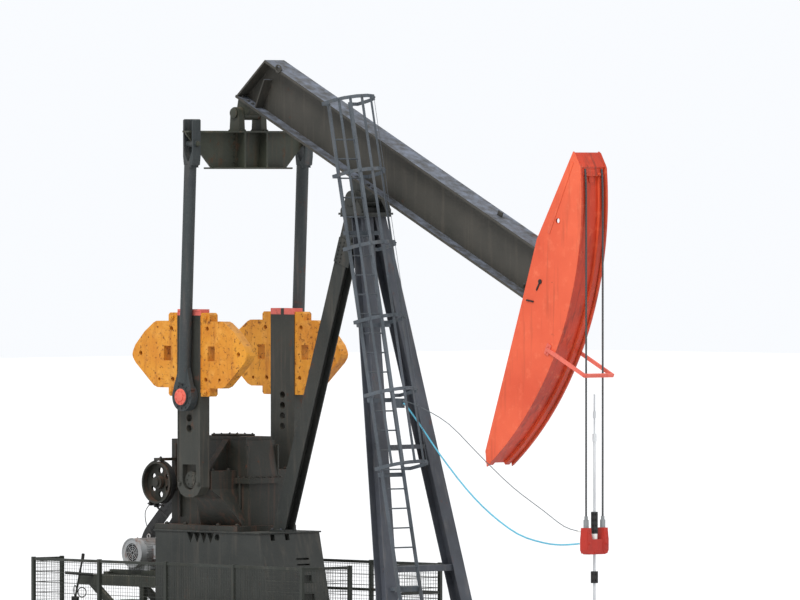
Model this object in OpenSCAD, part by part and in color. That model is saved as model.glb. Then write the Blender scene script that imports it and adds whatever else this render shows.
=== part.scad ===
// Beam pumping unit: a walking beam rocked by a crank pair, on a skid and a concrete block.
// X runs toward the well, Y across the unit, Z up. Origin: on the ground, under the crankshaft.

/* [Linkage] */
// Height of the crankshaft above the skid's underside
shaft_rise = 2207; // [2150:1:2300]
// Horizontal distance from the crankshaft to the saddle bearing
saddle_x = 2640; // [2600:5:2700]
// Height of the saddle bearing above the crankshaft
saddle_rise = 4030; // [3980:5:4100]
// Radius from the saddle bearing to the centre of the hanging wire lines
head_r = 4640; // [4500:5:4700]
// Distance from the saddle bearing to the tail bearing, along the beam
tail_r = 2760; // [2700:5:2800]
// Offset of the tail bearing toward the beam, against the saddle bearing
tail_rise = 50; // [30:1:70]
// Crank radius at the wrist pin in use
pin_r = 1194; // [1150:1:1240]
// Tilt of the beam in the stored pose, head down
beam_tilt = 25.6; // [24:0.1:26]

/* [Foundation and skid] */
// Height of the concrete block
block_h = 500; // [450:10:600]
// Width of the concrete block
block_w = 1440; // [1300:10:1480]
// Rear end of the skid, behind the crankshaft
skid_rear = 3150; // [3100:10:3300]
// Front end of the skid, ahead of the crankshaft
skid_front = 4250; // [4200:10:4400]
// Depth of the skid's rails
skid_d = 356; // [300:2:380]
// Flange width of the skid's rails
skid_flange = 240; // [200:5:260]
// Centre of each skid rail from the middle
skid_y = 635; // [600:5:640]

/* [Pedestal and reducer] */
// Width of the pedestal across the unit
pedestal_w = 1180; // [1100:10:1200]
// Rear edge of the pedestal, behind the crankshaft
pedestal_rear = 1170; // [1100:10:1250]
// Front edge of the pedestal's top, ahead of the crankshaft
pedestal_front = 1035; // [950:5:1100]
// How far the front plate runs forward on its way down
pedestal_rake = 250; // [150:10:300]
// Height of the crankshaft above the pedestal's top plate
pedestal_drop = 746; // [700:2:800]
// Width of the reducer's case between its bearing walls
case_w = 560; // [500:10:620]
// Rear end of the reducer's case, behind the crankshaft
case_rear = 1200; // [1150:10:1250]
// Front end of the reducer's case, ahead of the crankshaft
case_front = 500; // [460:10:540]
// Height of the upper case above the crankshaft
case_top = 590; // [540:10:640]
// Distance from the crankshaft back to the input shaft
input_x = 1130; // [1100:10:1160]
// Radius of the brake drum
drum_r = 305; // [280:1:320]

/* [Cranks and counterweights] */
// Inner face of each crank from the middle
crank_in = 830; // [820:1:840]
// Thickness of each crank
crank_t = 165; // [150:1:170]
// Width of each crank
crank_w = 500; // [460:5:520]
// Radius of the crank's tip
crank_tip = 2450; // [2400:5:2480]
// Pitch of the wrist pin holes
hole_pitch = 152; // [148:1:156]
// Diameter of the wrist pin holes
hole_d = 105; // [90:1:115]
// Diameter of the crankshaft
shaft_d = 240; // [220:1:260]
// Thickness of a counterweight
weight_t = 152; // [140:1:206]
// Reach of a counterweight from the middle of the crank
weight_reach = 1218; // [1180:2:1230]

/* [Pitmans and equalizer] */
// Centre of each pitman from the middle
pitman_y = 1100; // [1096:1:1110]
// Outer diameter of the pitman tube
pitman_d = 178; // [160:1:180]
// Diameter of the wrist pin bearing housing
housing_d = 410; // [380:1:420]
// Diameter of the bearing cap
cap_d = 258; // [220:1:270]
// Depth of the equalizer beam
equalizer_d = 550; // [500:5:580]
// Length of the equalizer beam along its top
equalizer_l = 2440; // [2400:10:2480]

/* [Walking beam] */
// Depth of the walking beam
beam_d = 750; // [720:2:780]
// Flange width of the walking beam
beam_w = 380; // [340:2:384]
// Height of the beam's bottom flange above the saddle bearing
beam_lift = 225; // [220:1:240]
// Rear end of the beam's top flange
beam_rear = 2590; // [2500:5:2650]
// Rear end of the beam's bottom flange
beam_heel = 2930; // [2900:5:3000]
// Front end of the beam, inside the horsehead
beam_front = 3900; // [3850:5:4000]

/* [Horsehead and bridle] */
// Outer width of the horsehead
head_w = 510; // [480:2:530]
// Plate thickness of the horsehead
head_t = 20; // [12:1:25]
// Diameter of the wire line
wire_d = 28; // [22:1:32]
// Centre of each wire line from the middle
wire_y = 162; // [150:1:175]
// Highest angle of the horsehead's arc above the beam's line
arc_up = 31.3; // [30.5:0.1:31.8]
// Lowest angle of the horsehead's arc below the beam's line
arc_down = 28.2; // [27.5:0.1:28.5]

/* [Carrier and rod] */
// Height of the carrier bar's middle top above the ground
carrier_z = 2012; // [1950:2:2080]
// Diameter of the polished rod
rod_d = 38.1; // [31:0.1:40]
// Height of the rod's lower end above the ground
rod_foot = 300; // [250:10:400]
// Height of the rod's upper end above the ground
rod_head = 4030; // [3950:10:4100]

/* [Post, ladder and guards] */
// Side of the post legs' wide-flange section
leg_s = 220; // [200:2:240]
// Foot of the front legs ahead of the crankshaft
leg_foot_x = 3890; // [3850:5:3950]
// Foot of each front leg from the middle
leg_foot_y = 745; // [720:5:760]
// Foot of the rear leg ahead of the crankshaft
rear_foot_x = 905; // [850:5:910]
// Centre of the ladder from the middle
ladder_y = 660; // [650:5:700]
// Width of the ladder over its rails
ladder_w = 430; // [400:5:450]
// Distance from the front legs' plane forward to the ladder
ladder_off = 430; // [400:5:460]
// Height of the ladder's top above the ground
ladder_top = 8120; // [8000:10:8200]
// Side fences' distance from the middle
fence_y = 1350; // [1330:5:1400]
// Height of the fence's top rail
fence_h = 1535; // [1450:5:1600]
// Length of one fence bay
bay_l = 1432; // [1400:2:1450]
// Rear end of the fence, behind the crankshaft
fence_rear = 2970; // [2960:5:3050]

/* [Motor] */
// Distance from the crankshaft back to the motor's shaft
motor_x = 2300; // [2250:10:2350]
// Outer radius of the motor's frame
motor_r = 214; // [200:1:230]
// Length of the motor's frame
motor_l = 560; // [520:5:600]

/* [Hidden] */

gap = 0.3;
run_gap = 0.1;
near = -1;
far = 1;
shaft_z = block_h + shaft_rise;
saddle_z = shaft_z + saddle_rise;
tail_angle = beam_tilt + atan(tail_rise / tail_r);
tail_len = norm([tail_r, tail_rise]);
tail_x = saddle_x - tail_len * cos(tail_angle);
tail_z = saddle_z + tail_len * sin(tail_angle);
pin_z = shaft_z + pin_r;
pitman_lean = atan(tail_x / (tail_z - pin_z));
crank_out = crank_in + crank_t;
weight_in = crank_out - weight_t;
skid_top = block_h + skid_d;
pedestal_z = shaft_z - pedestal_drop;
well_x = saddle_x + head_r;
round_fn = 64;

// Puts children in the beam's frame: origin at the saddle bearing, X along the beam to the head
module on_beam() {
    translate([saddle_x, 0, saddle_z]) rotate([0, beam_tilt, 0]) children();
}

// Puts children in the pitmans' frame: origin on the wrist pin, Z up the pitman
module on_pitman() {
    translate([0, 0, pin_z]) rotate([0, pitman_lean, 0]) children();
}

// Extrudes an outline drawn in X and Z from y0 to y1
module slab(y0, y1) {
    translate([0, y1, 0]) rotate([90, 0, 0]) linear_extrude(y1 - y0) children();
}

// Extrudes an outline drawn in Y and Z from x0 to x1
module cross_slab(x0, x1) {
    translate([x0, 0, 0]) rotate([90, 0, 90]) linear_extrude(x1 - x0) children();
}

// A cylinder along Y from y0 to y1
module barrel(y0, y1, d) {
    translate([0, y1, 0]) rotate([90, 0, 0]) cylinder(h = y1 - y0, d = d, $fn = round_fn);
}

// A box between two opposite corners
module block(a, b) {
    translate(a) cube(b - a);
}

// A wide-flange section, web along Y, centred on the origin
module wide_flange(d, w, tf, tw) {
    translate([-w / 2, d / 2 - tf]) square([w, tf]);
    translate([-w / 2, -d / 2]) square([w, tf]);
    translate([-tw / 2, -d / 2]) square([tw, d]);
}

// A round bar from point a to point b
module rod_between(a, b, d, n) {
    v = b - a;
    translate(a) rotate([0, acos(v[2] / norm(v)), atan2(v[1], v[0])])
        cylinder(h = norm(v), d = d, $fn = n);
}

// Foundation and skid
block_over = 120;
module foundation() {
    color("gray")
        block([-skid_rear - block_over, -block_w / 2, 0], [skid_front + block_over, block_w / 2, block_h]);
}

skid_tf = 22;
skid_tw = 14;
skid_cross = [-3000, -1900, -1000, 0, 1000, 2100, 3100];
sole_l = 420;
module skid() {
    color([0.16, 0.17, 0.15]) {
        for (s = [near, far])
            translate([0, s * skid_y, block_h + gap + skid_d / 2 - gap / 2])
                cross_slab(-skid_rear, skid_front) wide_flange(skid_d - gap, skid_flange, skid_tf, skid_tw);
        for (x = skid_cross)
            block([x - 60, -skid_y, block_h + 60], [x + 60, skid_y, skid_top - 60]);
        block([leg_foot_x - sole_l / 2, -leg_foot_y - leg_s, skid_top - 60],
            [leg_foot_x + sole_l / 2, leg_foot_y + leg_s, skid_top]);
    }
}

// Pedestal
notch_n = 4;
notch_w = 75;
notch_h = 160;
notch_x0 = -420;
pocket = 60;
// Openings down the front plate, each as its top and bottom below the pedestal's top
front_slots = [[375, 405], [460, 485], [625, 740], [890, 1010]];
slot_y = 60;
slot_w = 250;
function front_at(z) = pedestal_front + pedestal_rake * (pedestal_z - z) / (pedestal_z - skid_top);
module pedestal_outline() {
    polygon([[-pedestal_rear, skid_top + gap], [-pedestal_rear, pedestal_z],
        [pedestal_front, pedestal_z], [pedestal_front + pedestal_rake, skid_top + gap]]);
}
module pedestal() {
    w = pedestal_w / 2;
    color([0.17, 0.18, 0.16]) difference() {
        slab(-w, w) pedestal_outline();
        for (s = [near, far], i = [0 : notch_n - 1])
            translate([notch_x0 + i * notch_w * 1.9, s * w, pedestal_z - 20])
                slab(-pocket, pocket)
                    polygon([[-notch_w, -4], [notch_w, -4], [0, -notch_h]]);
        for (s = [near, far])
            translate([notch_x0 + notch_n * notch_w * 1.9, s * w, pedestal_z - 90])
                barrel(-pocket, pocket, 105);
        for (y = [-380, -95])
            block([front_at(pedestal_z) - pocket, y, pedestal_z - 120],
                [pedestal_front + pedestal_rake, y + 85, pedestal_z - 30]);
        for (h = front_slots)
            block([front_at(pedestal_z - h[1]) - pocket, slot_y, pedestal_z - h[1]],
                [pedestal_front + pedestal_rake + 1, slot_y + slot_w, pedestal_z - h[0]]);
    }
}

// Gear reducer
case_foot_t = 80;
case_foot_w = 1160;
flange_low = 60;
flange_up = 20;
bearing_x = 235;
bearing_y = 790;
bearing_up = 125;
bearing_down = 137;
support_x = 440;
support_y = 360;
input_drop = 70;
input_boss = 260;
gusset_t = 40;
gusset_top = 530;
cover_t = 22;
module shaft_bores() {
    translate([0, 0, shaft_z]) barrel(-crank_in, crank_in, shaft_d + 2 * run_gap);
    translate([-input_x, 0, shaft_z - input_drop]) barrel(-crank_in, crank_in, input_d + 2 * run_gap);
}
bracket_gap = 12;
bracket_t = 40;
// The anchor of the brake band, standing on the case's rim and reaching out over the drum
module brake_bracket() {
    z = shaft_z - input_drop + drum_r + bracket_gap;
    block([-input_x - 40, -drum_y, z], [-input_x + 100, -drum_y + 140, z + bracket_t]);
    block([-input_x + 20, -drum_y + 139, z], [-input_x + 100, 1 - case_w / 2, z + bracket_t]);
}
// A bearing's support: it narrows toward the case and widens along it on its way down
module bearing_support(s) {
    w = case_w / 2;
    foot = pedestal_z + case_foot_t - 1;
    top = shaft_z - bearing_down;
    intersection() {
        slab(side_lo(s, w - 30, bearing_y), side_hi(s, w - 30, bearing_y))
            polygon([[-support_x, foot], [-support_x + 20, foot + 60],
                [-bearing_x - 70, top - 200], [-bearing_x, top],
                [bearing_x, top], [bearing_x + 70, top - 200],
                [support_x - 20, foot + 60], [support_x, foot]]);
        cross_slab(-support_x, support_x)
            polygon([[s * (w - 30), foot], [s * support_y, foot], [s * (support_y + 60), foot + 100],
                [s * (bearing_y - 180), top - 140], [s * (bearing_y - 60), top - 50], [s * bearing_y, top],
                [s * (w - 30), top]]);
    }
}
module reducer_case() {
    w = case_w / 2;
    foot = pedestal_z + case_foot_t - 1;
    color([0.15, 0.16, 0.15]) {
        block([-case_rear, -case_foot_w / 2, pedestal_z + gap], [case_front + 60, case_foot_w / 2, foot + 1]);
        difference() {
            union() {
                block([-case_rear + 40, -w, foot], [case_front, w, shaft_z]);
                block([-case_rear, -w - 50, shaft_z - flange_low], [case_front + 50, w + 50, shaft_z]);
                for (s = [near, far]) {
                    block([-bearing_x, side_lo(s, w - 30, bearing_y), shaft_z - bearing_down - 1],
                        [bearing_x, side_hi(s, w - 30, bearing_y), shaft_z]);
                    bearing_support(s);
                }
                intersection() {
                    translate([-input_x, 0, shaft_z - input_drop]) barrel(-w - 60, w + 60, input_boss);
                    block([-case_rear - 200, -crank_in, foot], [0, crank_in, shaft_z]);
                }
            }
            shaft_bores();
        }
    }
}
module reducer_upper_case() {
    w = case_w / 2;
    z = shaft_z + gap;
    color([0.17, 0.18, 0.17]) difference() {
        union() {
            slab(-w, w) polygon([[-case_rear + 40, z], [-case_rear + 40, shaft_z + case_top - 30],
                [case_front - 80, shaft_z + case_top - 30], [case_front, z]]);
            block([-case_rear + 430, -w + 20, shaft_z + case_top - 31],
                [case_front - 100, w - 20, shaft_z + case_top + cover_t]);
            block([-case_rear, -w - 50, z], [case_front + 50, w + 50, shaft_z + flange_up]);
            for (s = [near, far]) {
                block([-bearing_x, side_lo(s, w - 30, bearing_y), z],
                    [bearing_x, side_hi(s, w - 30, bearing_y), shaft_z + bearing_up]);
                cross_slab(-gusset_t / 2, gusset_t / 2)
                    polygon([[s * (w - 1), shaft_z + bearing_up - 1],
                        [s * (bearing_y - 150), shaft_z + bearing_up - 1],
                        [s * (w - 1), shaft_z + gusset_top]]);
                cross_slab(-gusset_t * 1.5, gusset_t * 1.5)
                    polygon([[s * (bearing_y - 160), shaft_z + bearing_up - 1],
                        [s * (bearing_y - 120), shaft_z + bearing_up - 1],
                        [s * (w - 1), shaft_z + gusset_top + 40], [s * (w - 1), shaft_z + gusset_top]]);
            }
            brake_bracket();
        }
        shaft_bores();
    }
}

// Samson post
head_drop = 190;
head_z = saddle_z - head_drop;
head_l = 520;
head_half = 292;
front_top = [saddle_x + 60, 125, head_z - 60];
rear_top = [saddle_x - 215, 0, head_z - 60];
rear_foot = [rear_foot_x, 0, pedestal_z + gap];
leg_lean = (leg_foot_x - front_top[0]) / (front_top[2] - skid_top);
leg_spread = (leg_foot_y - front_top[1]) / (front_top[2] - skid_top);
foot_t = 30;

// A leg cut level at foot and top: its section stays in the ground's plane, sheared upward
module raked(a, b) {
    v = b - a;
    multmatrix([[1, 0, v[0] / v[2], a[0]], [0, 1, v[1] / v[2], a[1]], [0, 0, 1, a[2]], [0, 0, 0, 1]])
        linear_extrude(v[2]) children();
}
module front_leg(s) {
    foot = [leg_foot_x, s * leg_foot_y, skid_top + gap];
    color([0.2, 0.21, 0.2]) {
        raked(foot, [front_top[0], s * front_top[1], front_top[2]])
            rotate(90) wide_flange(leg_s, leg_s, 16, 12);
        block(foot - [180, 160, 0], foot + [180, 160, foot_t]);
    }
}
module front_legs() {
    front_leg(near);
    front_leg(far);
}
module rear_leg() {
    color([0.22, 0.22, 0.21]) {
        raked(rear_foot, rear_top) wide_flange(leg_s - 30, leg_s + 30, 16, 12);
        block(rear_foot - [127, 150, 0], rear_foot + [127, 150, foot_t]);
    }
}
struts = [[1510, 45], [3225, 30]];
function leg_at(z, s) =
    [leg_foot_x - leg_lean * (z - skid_top), s * (leg_foot_y - leg_spread * (z - skid_top)), z];
module leg_struts() {
    color([0.24, 0.25, 0.24]) for (s = struts) {
        p = leg_at(s[0], far);
        y = p[1] - leg_spread * s[1] - 6 - gap;
        block([p[0] - 70, -y, s[0] - s[1]], [p[0] + 70, y, s[0] + s[1]]);
    }
}
module post_head() {
    color([0.2, 0.21, 0.2]) {
        block([saddle_x - head_l / 2, -head_half, head_z - 30], [saddle_x + head_l / 2, head_half, head_z]);
        for (s = [near, far])
            slab(min(s * 180, s * 205), max(s * 180, s * 205))
                polygon([[saddle_x - head_l / 2 + 20, head_z - 29],
                    [saddle_x + head_l / 2 - 40, head_z - 29],
                    [saddle_x + 60, head_z - 59], [saddle_x - 60, head_z - 59]]);
        block([saddle_x - head_l / 2 + 20, -head_half + 20, head_z - 60 + gap],
            [saddle_x + head_l / 2 - 20, head_half - 20, head_z - 29]);
    }
}
saddle_d = 150;
block_y0 = 175;
block_y1 = 290;
module saddle_blocks() {
    color([0.18, 0.19, 0.18]) for (s = [near, far]) difference() {
        slab(min(s * block_y0, s * block_y1), max(s * block_y0, s * block_y1)) difference() {
            union() {
                translate([saddle_x, saddle_z]) circle(r = 125, $fn = round_fn);
                polygon([[saddle_x - 220, head_z + gap], [saddle_x + 220, head_z + gap],
                    [saddle_x + 220, head_z + 45], [saddle_x + 120, saddle_z],
                    [saddle_x - 120, saddle_z], [saddle_x - 220, head_z + 45]]);
            }
            translate([saddle_x, saddle_z]) circle(d = saddle_d + 2 * run_gap, $fn = round_fn);
        }
    }
}

// Ladder and cage, leaning with the front legs
rung_pitch = 280;
rail_t = 12;
rail_w = 65;
ladder_foot = 560;
ladder_ang = atan(leg_lean);
ladder_x0 = leg_foot_x + ladder_off + leg_lean * skid_top;
function ladder_pt(z) = ladder_x0 - leg_lean * z;
ladder_run = (ladder_top - ladder_foot) / cos(ladder_ang);
// Ladder's frame: origin at its foot, Z up the rails, X toward the climber
module on_ladder() {
    translate([ladder_pt(ladder_foot), -ladder_y, ladder_foot]) rotate([0, -ladder_ang, 0]) children();
}
rung_n = floor((ladder_run - 200) / rung_pitch);
module ladder() {
    color([0.3, 0.32, 0.33]) on_ladder() {
        for (s = [near, far])
            translate([-rail_w / 2, s * (ladder_w - rail_t) / 2 - rail_t / 2, 0])
                cube([rail_w, rail_t, ladder_run]);
        for (i = [0 : rung_n - 1])
            translate([0, 0, 180 + i * rung_pitch])
                barrel(-ladder_w / 2 + rail_t / 2, ladder_w / 2 - rail_t / 2, 22);
    }
}
hoop_n = 6;
hoop_z0 = 2400;
hoop_w = 700;
hoop_depth = 600;
hoop_t = 8;
hoop_h = 50;
hoop_dz = (ladder_run - 60 - hoop_z0) / (hoop_n - 1);
hoop_back = 12;
hoop_sides = 12;
hoop_centre = hoop_depth - hoop_w / 2;
module hoop_fill(r, x0) {
    translate([hoop_centre, 0]) intersection() {
        circle(r = r, $fn = hoop_sides);
        translate([0, -r]) square([r, 2 * r]);
    }
    translate([x0, -r]) square([hoop_centre - x0 + 0.1, 2 * r]);
}
module hoop_line() {
    r = hoop_w / 2;
    difference() {
        hoop_fill(r, hoop_back);
        hoop_fill(r - hoop_t, hoop_back + hoop_t);
        translate([-100, -ladder_w / 2 - gap]) square([200, ladder_w + 2 * gap]);
    }
}
strap_ang = [-75, -45, -15, 15, 45, 75];
strap_w = 40;
strap_t = 6;
module cage_hoops() {
    color([0.3, 0.32, 0.33]) on_ladder() for (i = [0 : hoop_n - 1])
        translate([0, 0, hoop_z0 + i * hoop_dz]) linear_extrude(hoop_h) hoop_line();
}
module cage_straps() {
    flat_r = (hoop_w / 2 - hoop_t) * cos(180 / hoop_sides);
    color([0.3, 0.32, 0.33]) on_ladder() for (a = strap_ang)
        translate([hoop_centre, 0, hoop_z0 + 5]) rotate(a)
            translate([flat_r - strap_t - gap, -strap_w / 2, 0])
                cube([strap_t, strap_w, hoop_dz * (hoop_n - 1) + hoop_h - 10]);
}
bracket_z = [1240, 2850, 3900, 4960, 6260];
function rail_back(z) = ladder_pt(z) - rail_w / 2 / cos(ladder_ang) - gap;
function leg_front(z) = leg_at(z, near)[0] + leg_s / 2 + gap;
// A small junction box on the ladder's rail, where the carrier's cables start
box_x1 = 3850;
module junction_box() {
    y = ladder_w / 2 - ladder_y;
    block([box_x1 - 200, y + gap, 3790], [box_x1, y + 62, 3925]);
}
module ladder_brackets() {
    color([0.26, 0.27, 0.26]) for (z = bracket_z) {
        p = leg_at(z, near);
        y1 = max(-ladder_y + ladder_w / 2, p[1] + 40);
        slab(-ladder_y - ladder_w / 2, y1)
            polygon([[rail_back(z - 30) - 45, z - 30], [rail_back(z - 30), z - 30],
                [rail_back(z + 30), z + 30], [rail_back(z + 30) - 45, z + 30]]);
        slab(p[1] - 30, p[1] + 30)
            polygon([[leg_front(z - 22), z - 22], [rail_back(z - 22) - 20, z - 22],
                [rail_back(z + 22) - 20, z + 22], [leg_front(z + 22), z + 22]]);
    }
    color([0.3, 0.31, 0.31]) junction_box();
}

// Motor, platform and belt guard
platform_z = shaft_z - 1447;
rail_z = platform_z + 60;
motor_y0 = 10;
platform_d = 150;
platform_y = 500;
platform_rear = 2950;
module motor_platform() {
    color([0.18, 0.18, 0.16]) {
        for (s = [near, far])
            block([-platform_rear, min(s * platform_y, s * (platform_y - 90)), platform_z - platform_d],
                [-pedestal_rear - gap, max(s * platform_y, s * (platform_y - 90)), platform_z]);
        for (x = [-platform_rear, -2250, -1500])
            block([x, -platform_y, platform_z - platform_d + 20], [x + 90, platform_y, platform_z - 10]);
        for (s = [near, far]) {
            y = s * (platform_y - 45);
            slab(y - 40, y + 40)
                polygon([[-2720, platform_z - platform_d + 1], [-2550, platform_z - platform_d + 1],
                [-2200, skid_top + gap], [-2370, skid_top + gap]]);
            block([-1620, y - 40, skid_top + gap], [-1540, y + 40, platform_z - platform_d + 1]);
        }
        for (y = [motor_y0 + 60, motor_y0 + motor_l - 130])
            block([-2900, y, platform_z - 1], [-1600, y + 90, rail_z]);
        for (x = [-2900, -1700])
            block([x, motor_y0 - 60, platform_z - 11], [x + 90, motor_y0 + motor_l, platform_z + 30]);
    }
}
motor_z = rail_z + motor_r + 40;
module motor() {
    color([0.62, 0.63, 0.64]) {
        translate([-motor_x, 0, motor_z]) {
            difference() {
                barrel(motor_y0 - 40, motor_y0 + 70, 2 * motor_r);
                barrel(motor_y0 - 41, motor_y0 - 15, 1.3 * motor_r);
            }
            barrel(motor_y0 + 69, motor_y0 + motor_l, 2 * motor_r - 20);
            barrel(motor_y0 + motor_l - 1, belt_y0 + 30, 90);
            barrel(belt_y0 + 25, belt_y1 - 25, 2 * sheave_r2);
        }
        for (y = [motor_y0 + 60, motor_y0 + motor_l - 130])
            block([-motor_x - 200, y + 10, rail_z + gap], [-motor_x + 200, y + 80, rail_z + 90]);
        block([-motor_x - 120, motor_y0 + 75, rail_z + 60],
            [-motor_x + 120, motor_y0 + motor_l - 20, motor_z]);
        block([-motor_x + 120, motor_y0 + 200, motor_z - 90],
            [-motor_x + 300, motor_y0 + 400, motor_z + 110]);
    }
}
belt_y0 = motor_y0 + motor_l + 30;
belt_y1 = belt_y0 + 170;
guard_r1 = 565;
guard_r2 = 525;
guard_t = 100;
sheave_r1 = 420;
sheave_r2 = 200;
belt_t = 22;
belt_gap = 1.2;
input_d = 110;
input_z = shaft_z - input_drop;
// The outline round both sheaves, at radius r1 round the input shaft and r2 round the motor's shaft
module belt_loop(r1, r2) {
    hull() {
        translate([-input_x, input_z]) circle(r = r1, $fn = round_fn);
        translate([-motor_x, motor_z]) circle(r = r2, $fn = round_fn);
    }
}
guard_strip = 60;
module belt_guard() {
    color([0.06, 0.06, 0.06]) {
        slab(belt_y0, belt_y1) difference() {
            belt_loop(guard_r1, guard_r2);
            belt_loop(guard_r1 - guard_t, guard_r2 - guard_t);
        }
        for (x = [-1500, -1900])
            block([x - guard_strip, belt_y0 - gap - 20, skid_top + gap], [x, belt_y0 + 20, motor_z - 300]);
    }
}
module drive_belts() {
    color([0.05, 0.05, 0.05]) slab(belt_y0 + 40, belt_y1 - 40) difference() {
        belt_loop(sheave_r1 + belt_gap + belt_t, sheave_r2 + belt_gap + belt_t);
        belt_loop(sheave_r1 + belt_gap, sheave_r2 + belt_gap);
    }
}
lever_y = 720;
module brake_lever() {
    color([0.12, 0.12, 0.12]) {
        rod_between([-2770, -lever_y, skid_top + 60], [-2610, -lever_y, 1500], 30, 8);
        block([-2830, -lever_y - 20, skid_top + gap], [-2710, -lever_y + 20, skid_top + 90]);
    }
}

// Fences
post_s = 50;
fence_wire = 8;
wire_pitch = 150;
bay_n = 4;
fence_l = bay_l * bay_n;
wire_n = floor((fence_h - 160) / wire_pitch);
function side_lo(s, a, b) = min(s * a, s * b);
function side_hi(s, a, b) = max(s * a, s * b);
rear_return = 800;
front_return = 420;
front_sill = 900;
module fence_post(x, y, z0) {
    h = post_s / 2;
    block([x - h, y - h, z0], [x + h, y + h, fence_h]);
}
function bar_levels(z0, mid) = mid ? [z0, fence_h - 430, fence_h - 30] : [z0, fence_h - 30];
module fence_side(s, mid) {
    y = s * fence_y;
    x0 = -fence_rear;
    x1 = x0 + fence_l;
    f = fence_wire / 2;
    for (i = [0 : bay_n]) fence_post(x0 + i * bay_l, y, 0);
    for (z = bar_levels(120, mid)) block([x0, y - 15, z - 20], [x1, y + 15, z + 20]);
    for (i = [1 : wire_n])
        block([x0, y - f, 120 + i * wire_pitch - f], [x1, y + f, 120 + i * wire_pitch + f]);
}
// A short panel across the unit from the side fence in to y_in, standing on the ground or the block
module fence_return(s, x, y_in, z0, foot, mid) {
    ya = side_lo(s, y_in, fence_y - post_s / 2 - gap);
    yb = side_hi(s, y_in, fence_y - post_s / 2 - gap);
    f = fence_wire / 2;
    fence_post(x, s * y_in, foot);
    for (z = bar_levels(z0, mid)) block([x - 15, ya, z - 20], [x + 15, yb, z + 20]);
    for (i = [0 : wire_n]) {
        z = 120 + i * wire_pitch;
        if (z > z0 + 30) block([x - f, ya, z - f], [x + f, yb, z + f]);
    }
}
module fence_near() { color([0.13, 0.14, 0.13]) fence_side(near, false); }
module fence_far() { color([0.13, 0.14, 0.13]) fence_side(far, true); }
module fence_ends() {
    color([0.13, 0.14, 0.13]) for (s = [near, far]) {
        fence_return(s, -fence_rear, rear_return, 120, 0, false);
        fence_return(s, -fence_rear + fence_l, front_return, front_sill, block_h + gap, s == far);
    }
}

// Input shaft with the brake drum at one end and the belt sheave at the other
drum_y = 620;
drum_l = 130;
spoke_n = 6;
module brake_drum() {
    color([0.14, 0.14, 0.13]) translate([-input_x, 0, input_z]) {
        difference() {
            barrel(-drum_y, -drum_y + drum_l, 2 * drum_r);
            barrel(-drum_y - 1, -drum_y + 95, 2 * drum_r - 60);
            for (i = [0 : spoke_n - 1])
                rotate([0, i * 360 / spoke_n, 0]) translate([0, 0, drum_r * 0.57])
                    barrel(-drum_y, -drum_y + drum_l + 1, 90);
        }
        barrel(-drum_y + 20, -drum_y + 96, 190);
        barrel(-drum_y - 10, -drum_y + 96, input_d);
        barrel(-drum_y + 90, belt_y0 + 60, input_d);
    }
}
module belt_sheave() {
    color([0.12, 0.12, 0.12]) translate([-input_x, 0, input_z]) difference() {
        barrel(belt_y0 + 25, belt_y1 - 25, 2 * sheave_r1);
        barrel(belt_y0 + 24, belt_y0 + 60 + gap, input_d + gap);
        for (i = [0 : spoke_n - 1])
            rotate([0, i * 360 / spoke_n, 0]) translate([0, 0, sheave_r1 * 0.58])
                barrel(belt_y0, belt_y1, 150);
    }
}

// Cranks
shaft_in = 30;
module crankshaft() {
    color([0.3, 0.3, 0.29]) translate([0, 0, shaft_z])
        barrel(-crank_out + shaft_in, crank_out - shaft_in, shaft_d);
}
pocket_w = 286;
pocket_t = 85;
module crank(s) {
    w = crank_w / 2;
    y0 = side_lo(s, crank_in, crank_out);
    y1 = side_hi(s, crank_in, crank_out);
    color([0.24, 0.24, 0.22]) translate([0, 0, shaft_z]) difference() {
        slab(y0, y1) polygon([[-w, crank_tip], [-w, -105], [-w * 0.72, -205], [-w * 0.32, -250],
            [w * 0.32, -250], [w * 0.72, -205], [w, -105], [w, crank_tip]]);
        barrel(y0 - 1, y1 + 1, shaft_d + 2 * run_gap);
        for (i = [0 : 3])
            translate([0, 0, pin_r - i * hole_pitch]) barrel(y0 - 1, y1 + 1, hole_d);
        slab(side_lo(s, crank_out - pocket_t, crank_out + 1),
            side_hi(s, crank_out - pocket_t, crank_out + 1))
            hull() {
                circle(d = pocket_w, $fn = round_fn);
                translate([-pocket_w / 2, 120]) square([pocket_w, 100]);
            }
    }
}
module cranks() {
    crank(near);
    crank(far);
}

// Counterweights: a pair on each crank, fore and aft
window = [390, 1710, 150, 210];
weight_holes = [[380, 2170, 70], [1040, 1810, 70], [350, 1440, 70], [640, 1440, 50]];
module weight_outline() {
    w = crank_w / 2 + gap;
    difference() {
        polygon([[w, 1200], [w + 160, 1200], [w + 190, 1230], [w + 190, 1320], [680, 1320], [760, 1350],
            [weight_reach - 70, 1670], [weight_reach - 14, 1740], [weight_reach, 1790],
            [weight_reach - 14, 1840], [weight_reach - 60, 1926], [960, 2120],
            [760, 2255], [700, 2278], [w + 190, 2278], [w + 190, 2370], [w + 160, 2400], [w, 2400]]);
        translate([window[0], window[1]]) square([window[2], window[3]]);
        for (h = weight_holes) translate([h[0], h[1]]) circle(d = h[2], $fn = round_fn);
    }
}
module weights(s) {
    y0 = side_lo(s, weight_in, crank_out);
    y1 = side_hi(s, weight_in, crank_out);
    color([0.85, 0.55, 0.15]) translate([0, 0, shaft_z])
        for (m = [0, 1]) mirror([m, 0, 0]) slab(y0, y1) weight_outline();
}
module counterweights() {
    weights(near);
    weights(far);
}

// Walking beam
flange_tb = 36;
web_tb = 24;
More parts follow.
